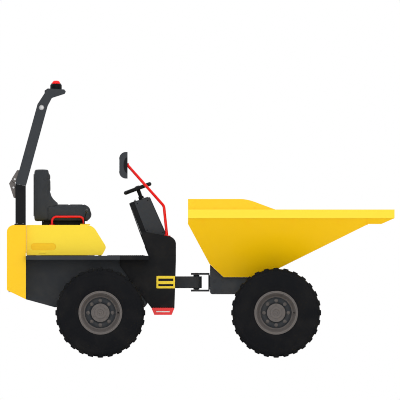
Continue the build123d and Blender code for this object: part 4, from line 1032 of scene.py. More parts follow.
WIRE_RADIUS, WIRE_SIDES = 0.0013, 6
WIRES = ((1, 49), (2, 31))   # the grille's wires: the axis along which they are spaced, and their count
GUTTER_HALF = 0.460          # half the gutter's length across the tail
LAMP_HALF_WIDTH = 0.0615
REFLECTOR_Z = 0.985
REFLECTOR = [(0.0, 0.0), (0.0, 0.035), (0.004, 0.035), (0.0068, 0.031), (0.0068, 0.0)]
LIFTING_EYE = [(0.0, 0.034), (0.007, 0.032), (0.010, 0.026), (0.007, 0.020), (0.0, 0.018), (-0.007, 0.020),
               (-0.010, 0.026), (-0.007, 0.032)]


class DUMPER_OT_tail(bpy.types.Operator):
    """Grille mesh and surround, gutter strip against the cover, lamp lenses, reflectors and lifting eye"""
    bl_idname = "dumper.tail"
    bl_label = "Tail"

    def execute(self, context):
        low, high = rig.box("tail_block")
        grille_low, grille_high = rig.box("tail_grille")
        body, back = "rear_body", low[0]
        # mesh of crossed round wires just inside the slats
        parts = []
        t = np.linspace(0, TWO_PI, WIRE_SIDES, endpoint=False)
        for axis, count in WIRES:
            other = 3 - axis
            for spot in np.linspace(grille_low[axis] + 0.006, grille_high[axis] - 0.006, count):
                wire = np.zeros((2, WIRE_SIDES, 3))
                wire[..., 0] = grille_high[0] - 0.004 + WIRE_RADIUS * np.cos(t)
                wire[..., axis] = spot + WIRE_RADIUS * np.sin(t)
                wire[0, :, other], wire[1, :, other] = grille_low[other] + 0.001, grille_high[other] - 0.001
                parts.append((wire, bar_faces(2, WIRE_SIDES)))
        mesh_piece("grille_mesh", *many(parts), "module black", body)
        edge = np.array(grille_low[1:]) - 0.0035, np.array(grille_high[1:]) + 0.0035
        self.rim("grille_surround", rounded(box_outline(*edge), 0.004, 5),
                 rounded(box_outline(edge[0] + 0.013, edge[1] - 0.013), 0.003, 5),
                 back + 0.0012, back + 0.0045, "module black", body)
        cover_low, cover_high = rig.box("engine_cover")
        block("tail_gutter", (high[0] - 0.0002, -GUTTER_HALF, cover_low[2] + 0.020),
              (high[0] + 0.0044, GUTTER_HALF, cover_high[2] - 0.006), "body yellow", body, bevel=0.0005)
        lamp_low, lamp_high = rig.box("tail_lamps")
        half_width, half_height = LAMP_HALF_WIDTH, (lamp_high[2] - lamp_low[2]) / 2
        z = (lamp_low[2] + lamp_high[2]) / 2
        for side, label in SIDES:
            y = side * (lamp_high[1] - half_width)
            for n, lens in enumerate(("lens amber", "lens red", "lens clear")):
                spot, half = z + (1 - n) * half_height * 2 / 3, half_height / 3 - 0.0035
                window = box_outline((y - half_width + 0.006, spot - half),
                                     (y + half_width - 0.006, spot + half))
                slab(f"lamp_{label}_{n}", rounded(window, 0.008), lamp_low[0] - 0.0045, lamp_low[0] + 0.003,
                     0, lens, body, bevel=0.003)
            # the reflector takes the glowing red lens: its glow is a painted reflection, not light of its own
            turned(f"reflector_{label}", REFLECTOR, (back + 0.009, y, REFLECTOR_Z), (-1, 0, 0), "lens red",
                   body, columns=48, closed=False)
            screws = [(lamp_low[0], y + a * (half_width - 0.003), z + b * (half_height - 0.003))
                      for a in (-1, 1) for b in (-1, 1)]
            bolt_heads(f"lamp_screws_{label}", screws, (-1, 0, 0), 0.0022, 0.0015, "bare steel", body,
                       washer=1.0)
        turned("lifting_eye", LIFTING_EYE, ((low[0] + high[0]) / 2 + 0.02, 0, high[2] + 0.022), (1, 0, 0),
               "chassis grey", body, columns=48)
        return {"FINISHED"}

    def rim(self, name, outer, inner, low, high, material, body):
        """Flat ring between two outlines with equally many points, from low to high along X."""
        count = len(outer)
        rows = np.zeros((4, count, 3))
        for n, (line, x) in enumerate(((outer, low), (outer, high), (inner, high), (inner, low))):
            rows[n, :, 0], rows[n, :, 1:] = x, line
        piece = mesh_piece(name, rows, grid_faces(4, count, wrap_rows=True, wrap_columns=True).tolist(),
                           material, body, smooth=False)
        return ease(piece, 0.001)


# ------------------------------------------------------------------ deck and steps
DECK_TOP = 1.020   # given, because the deck's own box also holds the stops that stand proud of it
MAT_BACK, MAT_FRONT, MAT_HALF = -0.935, -0.560, 0.560
MAT_RIBS, MAT_EDGE = 18, 0.02                # the ribs keep this far from the mat's edges
PEDALS = ((-0.190, 0.085), (0.200, 0.070))   # (y, height) of each
PEDAL_FOOT, PEDAL_HALF = -0.5235, 0.036
PEDAL_LEAN = np.array((-0.373, 0.928))       # along the steering tower's back, (x, z)
PEDAL_THICK = np.array((-0.006, -0.0024))
STUD_ROWS = (0.328, 0.352, 0.376, 0.400, 0.420)      # the steps' studs: distances from the middle
STUDS_IN_ROW = 12
STEP_INSERT = ((-0.445, 0.4555), (-0.310, 0.4665))   # corners, (x, z)


class DUMPER_OT_decks(bpy.types.Operator):
    """Ribbed mat, pedals, tread studs on the steps, step inserts and guard bolts"""
    bl_idname = "dumper.decks"
    bl_label = "Decks and steps"

    def execute(self, context):
        body = "rear_body"
        plate = rounded(box_outline((MAT_BACK, -MAT_HALF), (MAT_FRONT, MAT_HALF)), 0.02)
        parts = [slab_arrays(plate, DECK_TOP, DECK_TOP + 0.004, 2)]
        rib = np.array([(-0.005, 0.0035), (0.005, 0.0035), (0.003, 0.0075), (-0.003, 0.0075)])
        for x in np.linspace(MAT_BACK + MAT_EDGE, MAT_FRONT - MAT_EDGE, MAT_RIBS):
            parts.append(slab_arrays(rib + (x, DECK_TOP), -MAT_HALF + MAT_EDGE, MAT_HALF - MAT_EDGE, 1))
        mesh_piece("foot_mat", *many(parts), "floor rubber", body, smooth=False)
        for n, (y, tall) in enumerate(PEDALS):
            foot = np.array((PEDAL_FOOT, DECK_TOP + 0.016))
            tip = foot + PEDAL_LEAN * tall
            slab(f"pedal_{n}", [foot, tip, tip + PEDAL_THICK, foot + PEDAL_THICK], y - PEDAL_HALF,
                 y + PEDAL_HALF, 1, "module black", body, bevel=0.0015)
            tube(f"pedal_stalk_{n}", [(PEDAL_FOOT - 0.001, y, 1.050), (PEDAL_FOOT + 0.004, y, 1.019)], 0.005,
                 "module black", body)
        low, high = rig.box("side_steps")
        for side, label in SIDES:
            stud = [(high[2] - 0.0005, 0.006), (high[2] + 0.004, 0.0045)]
            studs = []
            for x in np.linspace(low[0] + 0.02, high[0] - 0.02, STUDS_IN_ROW):
                for y in STUD_ROWS:
                    studs.append((turned_grid(stud, (x, side * y, 0), (0, 0, 1), 8), bar_faces(2, 8)))
            mesh_piece(f"step_studs_{label}", *many(studs), "access red", body, smooth=False)
            outer = side * high[1]
            slab(f"step_insert_{label}", rounded(box_outline(*STEP_INSERT), 0.003, 5), outer - side * 0.002,
                 outer + side * 0.0025, 1, "pale strip", body, bevel=0.0012)
        low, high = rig.box("side_guards")
        for side, label in SIDES:
            places = [(x, side * high[1], (low[2] + high[2]) / 2 - 0.002)
                      for x in (low[0] + 0.009, high[0] - 0.009)]
            bolt_heads(f"guard_bolts_{label}", places, (0, side, 0), 0.0045, 0.004, "panel yellow", body)
        return {"FINISHED"}


# ------------------------------------------------------------------ console and mirrors
# the steering tower's covers as (x, z) outlines, and their half-width
KNEE_PAD = [(-0.512, 1.0205), (-0.712, 1.543), (-0.7155, 1.5418), (-0.6113, 1.2525), (-0.5207, 1.0205)]
FRONT_COVER = [(-0.516, 1.604), (-0.5060, 1.6035), (-0.3370, 1.2225), (-0.356, 1.2225)]
COVER_HALF = 0.1995
DASH_BACK_Z, DASH_FRONT_X = 1.543, -0.511
DASH_PANEL, PANEL_TOP = ((0.010, -0.182), (0.200, 0.182)), 0.0045   # its corners, and its rise from the dash
# on the dash: (distance from the driver's edge, to the left) of each, and the gauges' radii
GAUGES = ((0.165, -0.110, 0.030), (0.165, 0.110, 0.030), (0.165, 0.040, 0.020))
SWITCHES = (-0.155, -0.125, -0.095, 0.095, 0.125)
SWITCH_ROW, KEY_PLACE = 0.060, 0.160
KEY_OUTLINE = ((-0.3, 0), (0.3, 0), (0.9, 0.004), (0.9, 0.012), (-0.9, 0.012), (-0.9, 0.004))
PANEL_SCREWS = ((-0.632, 1.540), (-0.530, 1.572), (-0.535, 1.275), (-0.378, 1.252))
STROKE_SWEEP, STROKES, POINTER = 2.2, 11, -1.1   # the gauges' strokes run this far each way, in radians
STROKE_SPAN, POINTER_TIP, POINTER_TAIL = (0.62, 0.76), 0.7, 0.14   # as shares of the gauge's radius
BOOT_FOOT, BOOT_TOP = -0.118, -0.020      # along the steering column from the wheel's middle
BOOT_RADIUS, BOOT_RIPPLE, BOOT_FOLDS = 0.0190, 0.0012, 8
GRIP_CIRCLE, GRIP_RADIUS, GRIP_RIPPLE, GRIP_RIBS = 0.1265, 0.0192, 0.0008, 48
GRIP_STEPS = (18, 240)                    # points round the grip, and rings round the wheel
HORN_CAP = [(0.013, 0.0), (0.013, 0.031), (0.018, 0.030), (0.024, 0.024), (0.0265, 0.012), (0.027, 0.0)]
LEVER_X, LEVER_Y, LEVER_Z = -1.165, (-0.351, -0.330), 1.335
KNOB_HALF, KNOB_RADIUS = 0.018, 0.014
LEVER_PLINTH = ((-1.205, -0.370, 1.3268), (-1.105, -0.300, 1.338))


class DUMPER_OT_console(bpy.types.Operator):
    """Tower's knee pad and cover, dash with gauges and switches, column boot, grip, horn cap and levers"""
    bl_idname = "dumper.console"
    bl_label = "Console"

    def execute(self, context):
        body = "rear_body"
        low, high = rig.box("tower")
        for name, line, finish in (("tower_knee_pad", KNEE_PAD, "module black"),
                                   ("tower_front_cover", FRONT_COVER, "chassis grey")):
            slab(name, line, -COVER_HALF, COVER_HALF, 1, finish, body, bevel=0.002)
        back, front = np.array((low[0], 0, DASH_BACK_Z)), np.array((DASH_FRONT_X, 0, high[2]))
        run = (front - back) / np.linalg.norm(front - back)
        normal = np.array((-run[2], 0, run[0]))
        across = np.array((0.0, 1.0, 0.0))

        def on_dash(u, v, w=0.0):
            """Point u along the dash from its driver's edge, v to the left, w above it."""
            return back + run * u + across * v + normal * w

        def raised(name, outline, origin, levels, finish):
            """Plate standing on the dash: its outline about an origin at each (share of its size, height)."""
            flat = outline[:, :1] * run + outline[:, 1:] * across
            rows = np.stack([origin + flat * share + normal * w for share, w in levels])
            return mesh_piece(name, rows, bar_faces(len(rows), len(outline)), finish, body, smooth=False)

        panel = rounded(box_outline(*DASH_PANEL), 0.012, 6)
        ease(raised("dash_panel", panel, back, ((1, -0.0005), (1, PANEL_TOP)), "module black"), 0.0015)
        for n, (u, v, radius) in enumerate(GAUGES):
            centre = on_dash(u, v, PANEL_TOP)
            ring = [(0.0, radius - 0.005), (0.0, radius), (0.005, radius - 0.001), (0.006, radius - 0.003),
                    (0.005, radius - 0.005)]
            turned(f"gauge_ring_{n}", ring, centre, normal, "bare steel", body, columns=48)
            face = [(0.001, 0.0), (0.001, radius - 0.0045), (0.004, radius - 0.0045), (0.004, 0.0)]
            turned(f"gauge_face_{n}", face, centre, normal, "gauge face", body, columns=48, closed=False)
            self.gauge_marks(n, centre, radius, run, across, normal)
        switch = rounded(box_outline((-0.014, -0.009), (0.014, 0.009)), 0.003, 4)
        for n, v in enumerate(SWITCHES):
            raised(f"dash_switch_{n}", switch, on_dash(SWITCH_ROW, v, PANEL_TOP),
                   ((1.0, 0.0), (1.0, 0.003), (0.8, 0.005)), "gauge face")
        turned("ignition_barrel", [(0.0, 0.0), (0.0, 0.012), (0.005, 0.011), (0.005, 0.0)],
               on_dash(SWITCH_ROW, KEY_PLACE, PANEL_TOP), normal, "bare steel", body, columns=32,
               closed=False)
        key = np.array([on_dash(SWITCH_ROW, KEY_PLACE, 0.008) + run * a * 0.010 + normal * b
                        for a, b in KEY_OUTLINE])
        mesh_piece("ignition_key", np.stack([key - across * 0.0012, key + across * 0.0012]),
                   bar_faces(2, len(key)), "bare steel", body, smooth=False)
        self.steering(across)
        self.skip_levers()
        for side, label in SIDES:
            y = side * span("tower_panels", 1)[1]
            bolt_heads(f"panel_screws_{label}", [(x, y, z) for x, z in PANEL_SCREWS], (0, side, 0), 0.004,
                       0.003, "module black", body)
        return {"FINISHED"}

    def gauge_marks(self, n, centre, radius, run, across, normal):
        """Strokes round a gauge's face, and its pointer."""
        parts = []
        for angle in np.linspace(-STROKE_SWEEP, STROKE_SWEEP, STROKES):
            direction = math.cos(angle) * run + math.sin(angle) * across
            half = np.cross(normal, direction) * 0.0006
            foot = centre + normal * 0.0041
            start, end = (foot + direction * radius * share for share in STROKE_SPAN)
            parts.append(thin_plate([start - half, end - half, end + half, start + half], normal, 0.0004))
        direction = math.cos(POINTER) * run + math.sin(POINTER) * across
        half = np.cross(normal, direction) * 0.0014
        foot = centre + normal * 0.0046
        parts.append(thin_plate([foot - half, foot + direction * radius * POINTER_TIP, foot + half,
                                 foot - direction * radius * POINTER_TAIL], normal, 0.0005))
        mesh_piece(f"gauge_marks_{n}", *many(parts), "pale strip", "rear_body", smooth=False)

    def steering(self, across):
        """Column boot whose radius ripples as a cosine along it, grip whose radius ripples as a cosine round
        the rim, horn cap and direction lever."""
        axis = np.array(PINS["steering_turn"]["axis"])
        hub = np.array(PINS["steering_turn"]["pos_m"])
        along = np.linspace(0, 1, 41)
        boot = np.stack([BOOT_FOOT + (BOOT_TOP - BOOT_FOOT) * along,
                         BOOT_RADIUS - BOOT_RIPPLE * np.cos(along * BOOT_FOLDS * TWO_PI)], 1)
        boot = np.vstack([[(BOOT_FOOT, 0.0153)], boot, [(BOOT_TOP, 0.0153)]])
        turned("column_boot", boot, hub, axis, "hose rubber", "rear_body", columns=64)
        around, turn = (np.linspace(0, TWO_PI, count, endpoint=False) for count in GRIP_STEPS)
        grip = (GRIP_RADIUS + GRIP_RIPPLE * np.cos(turn * GRIP_RIBS))[:, None]
        _, right, up = frame_of(axis)
        spoke = np.cos(turn)[:, None, None] * right + np.sin(turn)[:, None, None] * up
        points = (hub + (grip * np.sin(around))[..., None] * axis
                  + (GRIP_CIRCLE + grip * np.cos(around))[..., None] * spoke)
        faces = grid_faces(*GRIP_STEPS[::-1], wrap_rows=True, wrap_columns=True).tolist()
        mesh_piece("steering_grip", points, faces, "hose rubber", "steering_wheel")
        turned("horn_cap", HORN_CAP, hub, axis, "gauge face", "steering_wheel", columns=64, closed=False)
        lever = smooth_path([hub - axis * 0.055, hub - axis * 0.052 + across * 0.05,
                             hub - axis * 0.040 + across * 0.12, hub - axis * 0.028 + across * 0.150], 20)
        tube("direction_lever", lever, np.concatenate([np.full(15, 0.0045), np.linspace(0.006, 0.011, 5)]),
             "gauge face", "rear_body", sides=14)

    def skip_levers(self):
        """Two levers with round knobs on a plinth beside the seat."""
        arc = np.linspace(-math.pi / 2, math.pi / 2, 12)
        knob = np.stack([KNOB_HALF * np.sin(arc), KNOB_RADIUS * np.cos(arc)], 1)
        for n, y in enumerate(LEVER_Y):
            foot = np.array((LEVER_X, y, LEVER_Z))
            stem = smooth_path([foot + (0, 0, -0.008), foot + (0.006, 0, 0.06), foot + (0.022, 0, 0.115)], 16)
            tube(f"skip_lever_{n}", stem, 0.0055, "seat base", "cover")
            turned(f"skip_knob_{n}", knob, foot + (0.024, 0, 0.130), (0.1, 0, 1), "gauge face", "cover",
                   columns=28, closed=False)
        block("lever_plinth", *LEVER_PLINTH, "panel yellow", "cover", bevel=0.004)


# the mirrors: their middle's distance from the machine's middle, and the arms' ends
MIRROR_Y, SOCKET_Z = 0.480, 1.929
ARM_FOOT, ARM_FOOT_Y = (-0.334, 1.2178), 0.240
COWL_SLOPE = np.array((0.181, 0, 0.983))   # square to the cowl's top
COWL_FALL = 0.184                # of the cowl's top, for each metre forward
BRACKET_OVAL = (0.039, 0.0795)   # half-axes along X and Z
SOCKET_AXIS = (1, 0, -0.35)
MIRROR_SOCKET = [(-0.001, 0.0), (-0.001, 0.020), (0.006, 0.018), (0.012, 0.0135), (0.012, 0.0)]
ARM_FLANGE = [(-0.002, 0.0), (-0.002, 0.034), (0.005, 0.034), (0.007, 0.031), (0.007, 0.0)]


class DUMPER_OT_mirrors(bpy.types.Operator):
    """Side brackets, glasses, arm sockets and bolted foot flanges of the mirrors"""
    bl_idname = "dumper.mirrors"
    bl_label = "Mirrors"

    def execute(self, context):
        body = "rear_body"
        low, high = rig.box("mirror_heads")
        middle_z, half_z = (low[2] + high[2]) / 2, (high[2] - low[2]) / 2
        back = high[0]
        t = np.linspace(-math.pi / 2, math.pi / 2, 40)
        oval = np.stack([back - BRACKET_OVAL[0] * np.cos(t), middle_z + BRACKET_OVAL[1] * np.sin(t)], 1)
        half_y = high[1] - MIRROR_Y
        for side, label in SIDES:
            middle_y = side * MIRROR_Y
            for n, out in enumerate((-1, 1)):
                face = middle_y + out * half_y
                slab(f"mirror_bracket_{label}_{n}", oval, face - out * 0.0005, face + out * 0.005, 1,
                     "module black", body, bevel=0.0015)
            glass = box_outline((middle_y - half_y + 0.006, middle_z - half_z + 0.062),
                                (middle_y + half_y - 0.006, middle_z + half_z - 0.062))
            slab(f"mirror_glass_{label}", rounded(glass, 0.012), low[0] - 0.002, low[0] + 0.002, 0,
                 "mirror glass", body, bevel=0.001)
            turned(f"mirror_socket_{label}", MIRROR_SOCKET, (back, middle_y, SOCKET_Z), SOCKET_AXIS,
                   "access red", body, columns=40, closed=False)
            foot = np.array((ARM_FOOT[0], side * ARM_FOOT_Y, ARM_FOOT[1]))
            turned(f"arm_flange_{label}", ARM_FLANGE, foot, COWL_SLOPE, "access red", body, columns=48,
                   closed=False)
            places = [foot + COWL_SLOPE * 0.006 + (a, b, -COWL_FALL * a)
                      for a, b in ((0.024, 0), (-0.024, 0), (0, 0.024), (0, -0.024))]
            bolt_heads(f"arm_bolts_{label}", places, COWL_SLOPE, 0.0038, 0.004, "bare steel", body)
        return {"FINISHED"}


# ------------------------------------------------------------------ hoop
POST_MIDDLE, POST_OUTSIDE = 0.480, 0.515   # of a post, from the machine's middle
PIN_RAIL = (-1.590, 2.501)   # (x, z) of the cross rail's middle
# the hinge plates at the fold as (x, z) outlines
KNUCKLE = [(-1.8515, 1.597), (-1.869, 1.600), (-1.915, 1.742), (-1.8895, 1.783), (-1.882, 1.762),
           (-1.868, 1.7495), (-1.8515, 1.7485)]
EAR = [(-1.8135, 1.8745), (-1.835, 1.8745), (-1.889, 1.788), (-1.8815, 1.7645), (-1.868, 1.7540),
       (-1.8475, 1.7540)]
POST_FOOT_X, POST_FOOT_Y = (-1.862, -1.7495), (0.432, 0.528)
POST_BOLT_X, POST_BOLT_Y = (-1.835, -1.775), (0.438, 0.522)
RAIL_CAP = [(0.0, 0.0), (0.0, 0.0235), (0.002, 0.0225), (0.0035, 0.018), (0.0035, 0.0)]
BEACON_COLLAR = [(0.0, 0.0425), (0.0, 0.0500), (0.005, 0.0495), (0.008, 0.0455), (0.008, 0.0425)]
LENS_ROWS, LENS_COLUMNS, LENS_RIBS = 25, 144, 36


class DUMPER_OT_hoop(bpy.types.Operator):
    """Hinge plates, post feet, rail caps, beacon collar and fluted lens of the roll-over hoop"""
    bl_idname = "dumper.hoop"
    bl_label = "Hoop"

    def execute(self, context):
        low_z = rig.box("rops_posts")[0][2]
        for side, label in SIDES:
            for n, out in enumerate((-1, 1)):
                for name, line, gap, body in (("knuckle", KNUCKLE, 0.010, "rear_body"),
                                              ("ear", EAR, 0.0239, "hoop")):
                    y = side * POST_MIDDLE + out * gap
                    slab(f"{name}_plate_{label}_{n}", line, y, y + out * 0.003, 1, "wheel taupe", body,
                         bevel=0.001)
            block(f"post_foot_{label}", (POST_FOOT_X[0], side * POST_FOOT_Y[0], low_z - 0.0004),
                  (POST_FOOT_X[1], side * POST_FOOT_Y[1], low_z + 0.012), "module black", "rear_body",
                  bevel=0.003)
            bolt_heads(f"post_bolts_{label}", [(x, side * y, low_z + 0.012) for x in POST_BOLT_X
                                               for y in POST_BOLT_Y],
                       (0, 0, 1), 0.0045, 0.005, "bare steel", "rear_body", washer=1.2)
            cap = np.array((PIN_RAIL[0], side * (POST_OUTSIDE + 0.005), PIN_RAIL[1]))
            turned(f"rail_cap_{label}", RAIL_CAP, cap, (0, side, 0), "bare steel", "hoop", columns=48,
                   closed=False)
            bolt_heads(f"rail_cap_bolt_{label}", [cap + (0, side * 0.0033, 0)], (0, side, 0), 0.008, 0.005,
                       "bare steel", "hoop", washer=1.1)
        low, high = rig.box("beacon_base")
        x = (low[0] + high[0]) / 2
        turned("beacon_collar", BEACON_COLLAR, (x, 0, high[2] - 0.001), (0, 0, 1), "beacon plastic", "hoop")
        self.lens(x)
        return {"FINISHED"}

    def lens(self, x):
        """Fluted lens of the beacon: radius * (1 - t^3.2)^(1 / 2.2) at each share t of its height, pressed in
        by up to 1.8 parts in a hundred between the ribs, less towards the top."""
        low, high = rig.box("beacon_dome")
        radius, tall = (high[0] - low[0]) / 2, high[2] - low[2]
        t = np.linspace(0, 1, LENS_ROWS)
        profile = np.stack([tall * t, radius * (1 - t ** 3.2) ** (1 / 2.2)], 1)
        points = turned_grid(profile, (0, 0, 0), (0, 0, 1), LENS_COLUMNS)
        angle = np.arctan2(points[..., 1], points[..., 0])
        ripple = 1 - 0.018 * (0.5 + 0.5 * np.cos(angle * LENS_RIBS)) * (1 - t[:, None] ** 6)
        points[..., :2] *= ripple[..., None]
        points += (x, 0, low[2])
        faces = grid_faces(LENS_ROWS, LENS_COLUMNS, wrap_columns=True).tolist()
        faces.append(list(range(LENS_COLUMNS))[::-1])
        dome = mesh_piece("beacon_lens", points, clean_faces(points, faces), "lens red", "hoop")
        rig.replaces(dome, "beacon_dome")


# ------------------------------------------------------------------ skip
# the tub's outside as (x, z): down the back and the heel, along the floor, up the slope and along the lip
TUB_LINE = np.array([(-0.127, 1.337), (0.089, 0.936), (0.228, 0.806), (0.603, 0.806), (1.676, 1.337),
                     (1.805, 1.337)])
FLOOR_Z, FLOOR_HALF = 0.806, 0.400
FLARE = 0.450 / 0.589        # sideways run of the tub's sides for each metre of height
PLATE = 0.0078               # from the tub's outside up to its inside
GUSSET_X, GUSSET_FALL, GUSSET_THICK = (0.02, 0.47, 0.92, 1.37, 1.66), 0.070, 0.008
GUARD_BOLT_X = (-0.06, 0.14, 0.34, 0.54)
WELD_RADIUS, WELD_RIPPLE, WELD_PITCH = 0.0042, 0.12, 0.007


def edge_at(height):
    """Half-width of the tub's outside at a height."""
    return FLOOR_HALF + (height - FLOOR_Z) * FLARE


class DUMPER_OT_skip(bpy.types.Operator):
    """Weld beads, rim gussets, guard bolts and pin keepers of the skip"""
    bl_idname = "dumper.skip"
    bl_label = "Skip"

    def execute(self, context):
        body = "skip"
        x, z, edge = TUB_LINE[:, 0], TUB_LINE[:, 1] + PLATE, edge_at(TUB_LINE[:, 1])
        beads = []
        for side, _ in SIDES:
            seam = np.stack([x, side * (edge - 0.019), z + 0.002], 1)
            beads += [self.bead(seam[n], seam[n + 1]) for n in range(len(seam) - 1)]
        for n in range(1, len(TUB_LINE) - 1):
            start = np.array((x[n], -(edge[n] - 0.02), z[n] + 0.0005))
            beads.append(self.bead(start, start * (1, -1, 1)))
        mesh_piece("skip_inner_welds", *many(beads), "body yellow", body)
        rim_low, rim_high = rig.box("rim_sides")
        top, foot = rim_low[2] + 0.0003, rim_low[2] - GUSSET_FALL
        inner = edge_at(foot)
        gussets = []
        for side, _ in SIDES:
            corners = np.array([(side * (rim_high[1] - 0.012), top), (side * edge_at(rim_low[2]), top),
                                (side * inner, foot), (side * (inner + 0.006), foot)])
            gussets += [slab_arrays(corners[::side], x, x + GUSSET_THICK, 0) for x in GUSSET_X]
        mesh_piece("rim_gussets", *many(gussets), "body yellow", body, smooth=False)
        guard_low, guard_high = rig.box("guard_wings")
        pivot = PINS["skip_tip"]["pos_m"]
        for side, label in SIDES:
            places = [(x, side * guard_high[1], guard_low[2] + 0.020) for x in GUARD_BOLT_X]
            bolt_heads(f"guard_wing_bolts_{label}", places, (0, side, 0), 0.006, 0.005, "body yellow", body)
            y = side * span("skip_pins", 1)[1]
            bolt_heads(f"pin_keeper_{label}", [(pivot[0] + a, y, pivot[2]) for a in (-0.016, 0.016)],
                       (0, side, 0), 0.005, 0.005, "bare steel", "front_body")
        return {"FINISHED"}

    def bead(self, a, b):
        """Weld bead from a to b: a six-sided bar whose radius is WELD_RADIUS * (1 + WELD_RIPPLE * cos), with
        one wave to each WELD_PITCH and two rings to a wave."""
        length = float(np.linalg.norm(b - a))
        count = max(3, int(length / (WELD_PITCH / 2)))
        t = np.linspace(0, 1, count)[:, None]
        path = a + (b - a) * t
        radius = WELD_RADIUS * (1 + WELD_RIPPLE * np.cos(t[:, 0] * length / WELD_PITCH * TWO_PI))
        radius[[0, -1]] = 1e-4
        return along_path(path, radius, 6), bar_faces(count, 6)


# ------------------------------------------------------------------ hydraulics and axles
# each cylinder's barrel: its name, radius, and the start and end of the tube along its axis
BARRELS = (("tip", 0.038, 0.040, 0.335), ("steer", 0.032, 0.034, 0.285))
PORT = [(0, 0), (0, 0.010), (0.012, 0.010), (0.012, 0.0075), (0.020, 0.007), (0.020, 0)]
AXLE_BOLT_Y, AXLE_BOLT_CIRCLE = 0.120, 0.1008
BRAKE_Y = 0.6217
BRAKE_RING = [(0, 0.079), (0, 0.100), (0.006, 0.102), (0.012, 0.100), (0.012, 0.079)]
REST_THICK, REST_Y = 0.0046, (0.331, 0.349)
REST_BACK, REST_DOWN = 0.0021, 0.005      # how far the strips' corner lies from the foot of the heel
THRUST_RING = [(0.0002, 0.0525), (0.0002, 0.0735), (0.0048, 0.0735), (0.0048, 0.0525)]
PIN_CAP = [(-0.001, 0.0), (-0.001, 0.0185), (0.0012, 0.0175), (0.0012, 0.0)]
FRAME_BOLTS = [(x, z) for x in (0.135, 0.215, 0.295) for z in (0.672, 0.765)]


class DUMPER_OT_running_gear(bpy.types.Operator):
    """Cylinder glands and ports, axle bolts, brake rings, rest strips, thrust ring, pin cap, frame bolts"""
    bl_idname = "dumper.running_gear"
    bl_label = "Running gear"

    def execute(self, context):
        for barrel in BARRELS:
            self.cylinder(*barrel)
        for end, body in (("rear", "rear_body"), ("front", "front_body")):
            x, _, z = PINS[f"{end}_left_spin"]["pos_m"]
            for side, label in SIDES:
                spots = spaced_round(np.array((x, side * AXLE_BOLT_Y, z)), np.array((1, 0, 0)),
                                     np.array((0, 0, 1)), AXLE_BOLT_CIRCLE, 10)
                bolt_heads(f"{end}_axle_bolts_{label}", spots, (0, side, 0), 0.007, 0.006, "bare steel", body)
                turned(f"{end}_brake_ring_{label}", BRAKE_RING, (x, side * BRAKE_Y, z), (0, side, 0),
                       "chassis grey", body, columns=64)
        frame_x = span("front_frame", 0)[0]
        turned("thrust_ring", THRUST_RING, (frame_x - 0.005, 0, PINS["oscillation"]["pos_m"][2]), (1, 0, 0),
               "module black", "yoke")
        strip = self.rest_line(frame_x)
        pin = PINS["articulation"]["pos_m"]
        turned("pin_cap", PIN_CAP, (pin[0], 0, span("yoke", 2)[1]), (0, 0, 1), "bare steel", "yoke",
               columns=40, closed=False)
        for side, label in SIDES:
            slab(f"skip_rest_{label}", strip, side * REST_Y[0], side * REST_Y[1], 1, "hose rubber",
                 "front_body")
            y = side * span("front_frame", 1)[1]
            bolt_heads(f"front_frame_bolts_{label}", [(x, y, z) for x, z in FRAME_BOLTS], (0, side, 0), 0.010,
                       0.008, "chassis grey", "front_body")
        return {"FINISHED"}

    def cylinder(self, name, radius, start, end):
        """Gland round the open end of a barrel, and a hydraulic port near each end."""
        base, body = np.array(PINS[f"{name}_swing"]["pos_m"]), f"{name}_barrel"
        axis = np.array(PINS[f"{name}_extend"]["axis"])
        gland = [(end - 0.030, radius), (end - 0.030, radius + 0.003), (end - 0.002, radius + 0.003),
                 (end + 0.001, radius + 0.001), (end + 0.001, radius * 0.8), (end - 0.001, radius * 0.8)]
        turned(f"{name}_gland", gland, base, axis, "module black", body, columns=64)
        side = np.cross(axis, (0.0, 0.0, 1.0)).astype(float)
        side /= np.linalg.norm(side)
        for n, spot in enumerate((start + 0.030, end - 0.050)):
            turned(f"{name}_port_{n}", PORT, base + axis * spot + side * (radius - 0.002), side, "bare steel",
                   body, columns=6, closed=False, smooth=False)

    def rest_line(self, frame_x):
        """Outline of a rubber strip on the frame's upper edge, which the skip's heel and floor rest on: the
        heel's and the floor's lines moved down, and the same moved up by the strip's thickness."""
        heel_top, heel_foot, floor_end = TUB_LINE[1:4]
        fall = (heel_foot - heel_top) / np.hypot(*(heel_foot - heel_top))
        normal = np.array((-fall[1], fall[0]))
        corner = heel_foot - (REST_BACK, REST_DOWN)
        rest = np.array([corner - fall * (corner[0] - frame_x) / fall[0], corner, (floor_end[0], corner[1])])
        upper = rest + np.array([normal * REST_THICK, (REST_BACK, REST_THICK), (0.0, REST_THICK)])
        return np.vstack([rest, upper[::-1]])


# ------------------------------------------------------------------ stage
FLOOR_REACH = 60
AIM = Vector((0, 0, 1.1))                # the lamps point here
# each lamp's name, place, width and power as a share of the key's
LAMPS = (("key", (0.3, -12.0, 2.8), 8.0, 1.0), ("rim", (-5.0, 5.0, 5.0), 5.0, 0.375))
CAMERA_PLACE = (-0.007, -12.0, 1.5768)


